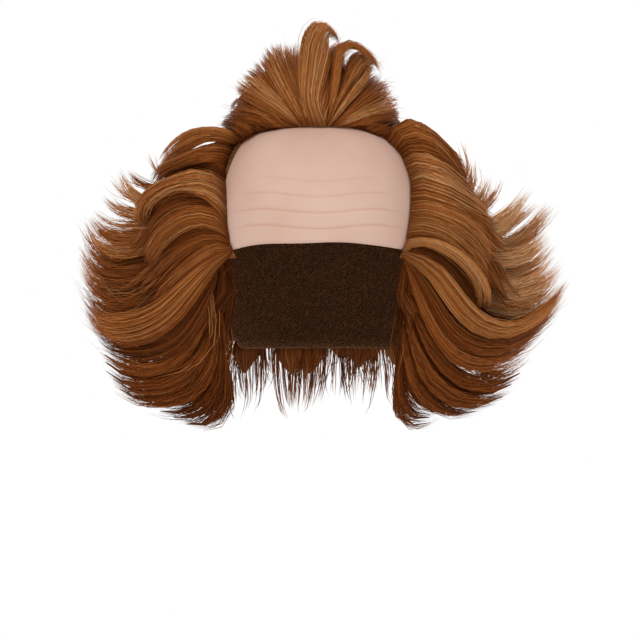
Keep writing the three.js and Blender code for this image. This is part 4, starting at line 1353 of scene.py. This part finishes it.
def tier_lock(side, turn, sweep, tier, reach, width, thick, tone):
    """A lock that grows from the side or back of the cap, rises, bends down and flicks at its end."""
    root_up = max(tier[0] * DROP, float(cap_edge_up(turn)) + 6)
    places = [head_point(side * turn, root_up, CAP_WALL + 3)]
    for share, out, up in ((0.3, tier[1], tier[2]), (0.65, tier[3], tier[4]), (1.0, tier[5], tier[6])):
        at = math.radians(side * (turn + sweep * share))
        places.append((math.sin(at) * out * reach, -math.cos(at) * out * reach, up * DROP))
    path = smooth_path(places)
    if turn < 150:
        path = kept_below(path, OUTLINES[side], thick / 2 + 2)
    facing = np.array([math.sin(math.radians(side * turn)), -math.cos(math.radians(side * turn)), 0.9])
    return round_lock(path, width, thick, tone, facing)


def tier_row(tiers, place):
    """A row between two rows of a table of tiers."""
    low = int(min(place, len(tiers) - 1.001))
    return tiers[low] + (tiers[low + 1] - tiers[low]) * (place - low)


# Groups of traced locks, their depths, where they root (None is at the hairline, and a number is degrees
# round the head from the face), how far single strands stray in mm, and steps along a strand
LEFT_GROUPS = (
    (LEFT_WAVES[:1], WAVE_DEPTHS, None, 0.6, 9),
    (LEFT_WAVES[1:], WAVE_DEPTHS, None, 1.5, 9),
    (LEFT_SWEEPS, SWEEP_DEPTHS, None, 1.0, 11),
    (LEFT_FALLS, FALL_DEPTHS, 76, 1.2, 9),
    (LEFT_FLICKS, FLICK_DEPTHS, 84, 2.4, 8),
)
RIGHT_GROUPS = (
    (RIGHT_WAVES, WAVE_DEPTHS, None, 1.5, 9),
    (RIGHT_LOOP, WAVE_DEPTHS, None, 0.4, 12),
    (RIGHT_HOLLOW, HOLLOW_DEPTHS, None, 1.2, 9),
    (RIGHT_SWEEPS, SWEEP_DEPTHS, None, 1.0, 11),
    (RIGHT_FALLS, FALL_DEPTHS, 76, 1.2, 9),
    (RIGHT_FLICKS, FLICK_DEPTHS, 84, 2.4, 8),
)


TRACED_HAIR = dict(sway=0.9, spill=1.12)
STRAY_HAIR = dict(reach=(0.8, 1.06), clumps=4, gather=0.1, spill=1.2, fibre=0.18)
BEHIND_HAIR = dict(steps=8, fray=1.0, reach=(0.8, 1.0), clumps=4, gather=0.6, sway=1.5, spill=1.1, fibre=0.34)
BEHIND_STRANDS = 28
TIER_HAIR = dict(steps=7, fray=1.2, reach=(0.6, 1.04), gather=0.25, sway=1.6, spill=1.15)
TIER_STRANDS = 24


def dressed(group, reach, gather, locks):
    """The strands of a group of traced locks and of the darker ones between them."""
    entries, depths, root_turn, fray, steps = group
    strands = []
    for entry in (*entries, *between(entries)):
        lock = traced_lock(entry, depths, FRONT_FACING, root_turn, 12.0 if depths is FLICK_DEPTHS else 0.0)
        count, clumps = int(entry.strands * 0.9), entry.clumps
        strands.append(strand_lines(lock, count, steps, fray, reach, clumps, gather, **TRACED_HAIR))
        count = entry.strands // 20 + 2
        loose = 1.2 if depths is FALL_DEPTHS else 2.4
        strands.append(strand_lines(lock, count, steps, loose, sway=loose * 0.6, **STRAY_HAIR))
        lock.filled = 0.93 if depths is FALL_DEPTHS else 0.84
        locks.append(lock)
    return strands


SIDES = ((-1, "left", REACH_LEFT, LEFT_GROUPS), (1, "right", REACH_RIGHT, RIGHT_GROUPS))
for side, word, reach, (*waves, falls, flicks) in SIDES:
    side_locks, wave_strands = [], []
    for group in waves:
        wave_strands += dressed(group, (0.84, 1.0), 0.45, side_locks)
    fall_strands = dressed(falls, (0.8, 1.0), 0.55, side_locks)
    flick_strands = dressed(flicks, (0.72, 1.06), 0.88, side_locks)
    behind = [(entry, WAVE_DEPTHS, 64) for entry in waves[-1][0] + waves[0][0]]
    behind += [(entry, FALL_DEPTHS, 86) for entry in falls[0][:3]]
    behind += [(entry, FLICK_DEPTHS, 92) for entry in flicks[0] if entry.strands >= 110]
    for entry, depths, turn in behind:
        marks = (even_marks(entry.upper) + even_marks(entry.lower))[:7] / 2
        marks = marks + RNG.normal(0, 2, (7, 2)) + (0, 4)
        push = 38 if depths is WAVE_DEPTHS else 26
        root = head_point(side * turn, max(root_place(*marks[0])[2] - 3, LOWEST_ROOT_UP + 2), CAP_WALL)
        path = kept_below(front_path(marks, depths, root, push), OUTLINES[side], 8)
        # Painted shade: the locks behind get darker tones than the ones in front of them
        lock = round_lock(path, 26, 16, max(entry.tone - 8, 8), FRONT_FACING)
        flick_strands.append(strand_lines(lock, BEHIND_STRANDS, **BEHIND_HAIR))
        side_locks.append(lock)
    tier_strands, tier_locks = [], []
    for column, turn in enumerate((72, 84, 96, 108, 120)):
        for row in range(8):
            tier = tier_row(SIDE_TIERS, (row + 0.5 * (column % 2)) * 6 / 7.6) + RNG.normal(0, 0.012, 7)
            turned = turn + RNG.normal(0, 2)
            lock = tier_lock(side, turned, 10, tier, reach, 28, 17, int(RNG.integers(22, 46)))
            tier_strands.append(strand_lines(lock, TIER_STRANDS, clumps=5, fibre=0.36, **TIER_HAIR))
            lock.filled = 0.62
            tier_locks.append(lock)
    pieces = [
        strand_mesh(f"temple_waves_{word}", wave_strands, strand_fibre),
        strand_mesh(f"lower_curls_{word}", fall_strands, strand_fibre),
        strand_mesh(f"side_flicks_{word}", flick_strands, strand_fibre),
        strand_mesh(f"side_layers_{word}", tier_strands, strand_fibre),
        body_mesh(f"side_hair_body_{word}", side_locks, packed_fibre),
        body_mesh(f"side_layers_body_{word}", tier_locks, packed_fibre),
    ]
    for piece in pieces:
        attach(piece, "root")
    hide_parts(f"side_hair_{word}")


# The back hair
# Layered hair over the back of the head, sewn on in rows. It falls in short waves whose ends turn out,
# down to the nape.
FRINGE_STRANDS = 38
BACK_TURNS = (131, 142, 152, 162, 171, 180, -171, -162, -152, -142, -131)
back_strands, back_locks = [], []
for column, turn in enumerate(BACK_TURNS):
    for row in range(9):
        tier = tier_row(BACK_TIERS, (row + 0.5 * (column % 2)) * 4 / 8.5) + RNG.normal(0, 0.012, 7)
        side = 1 if turn > 0 else -1
        reach = REACH_RIGHT if turn > 0 else REACH_LEFT
        reach = float(reach + (REACH_BACK - reach) * smooth_step((abs(turn) - 90) / 90))
        turned = abs(turn) + RNG.normal(0, 2)
        # Painted shade: the lowest rows get darker tones, as the shade that falls under the hair above
        tone = int(RNG.integers(14, 34) if row > 5 else RNG.integers(22, 44))
        lock = tier_lock(side, turned, 4, tier, reach, 27, 15, tone)
        # The lowest rows end in a fringe of single strands
        count, inner = (FRINGE_STRANDS, 0.3) if row > 6 else (TIER_STRANDS, 0.12)
        back_strands.append(strand_lines(lock, count, clumps=6, fibre=0.34, inner=inner, **TIER_HAIR))
        lock.filled = 0.42 if row > 5 else 0.62
        back_locks.append(lock)
back = strand_mesh("back_hair_strands", back_strands, strand_fibre)
back_body = body_mesh("back_hair_body", back_locks, packed_fibre)
for piece in (back, back_body):
    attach(piece, "root")
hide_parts("back_hair")
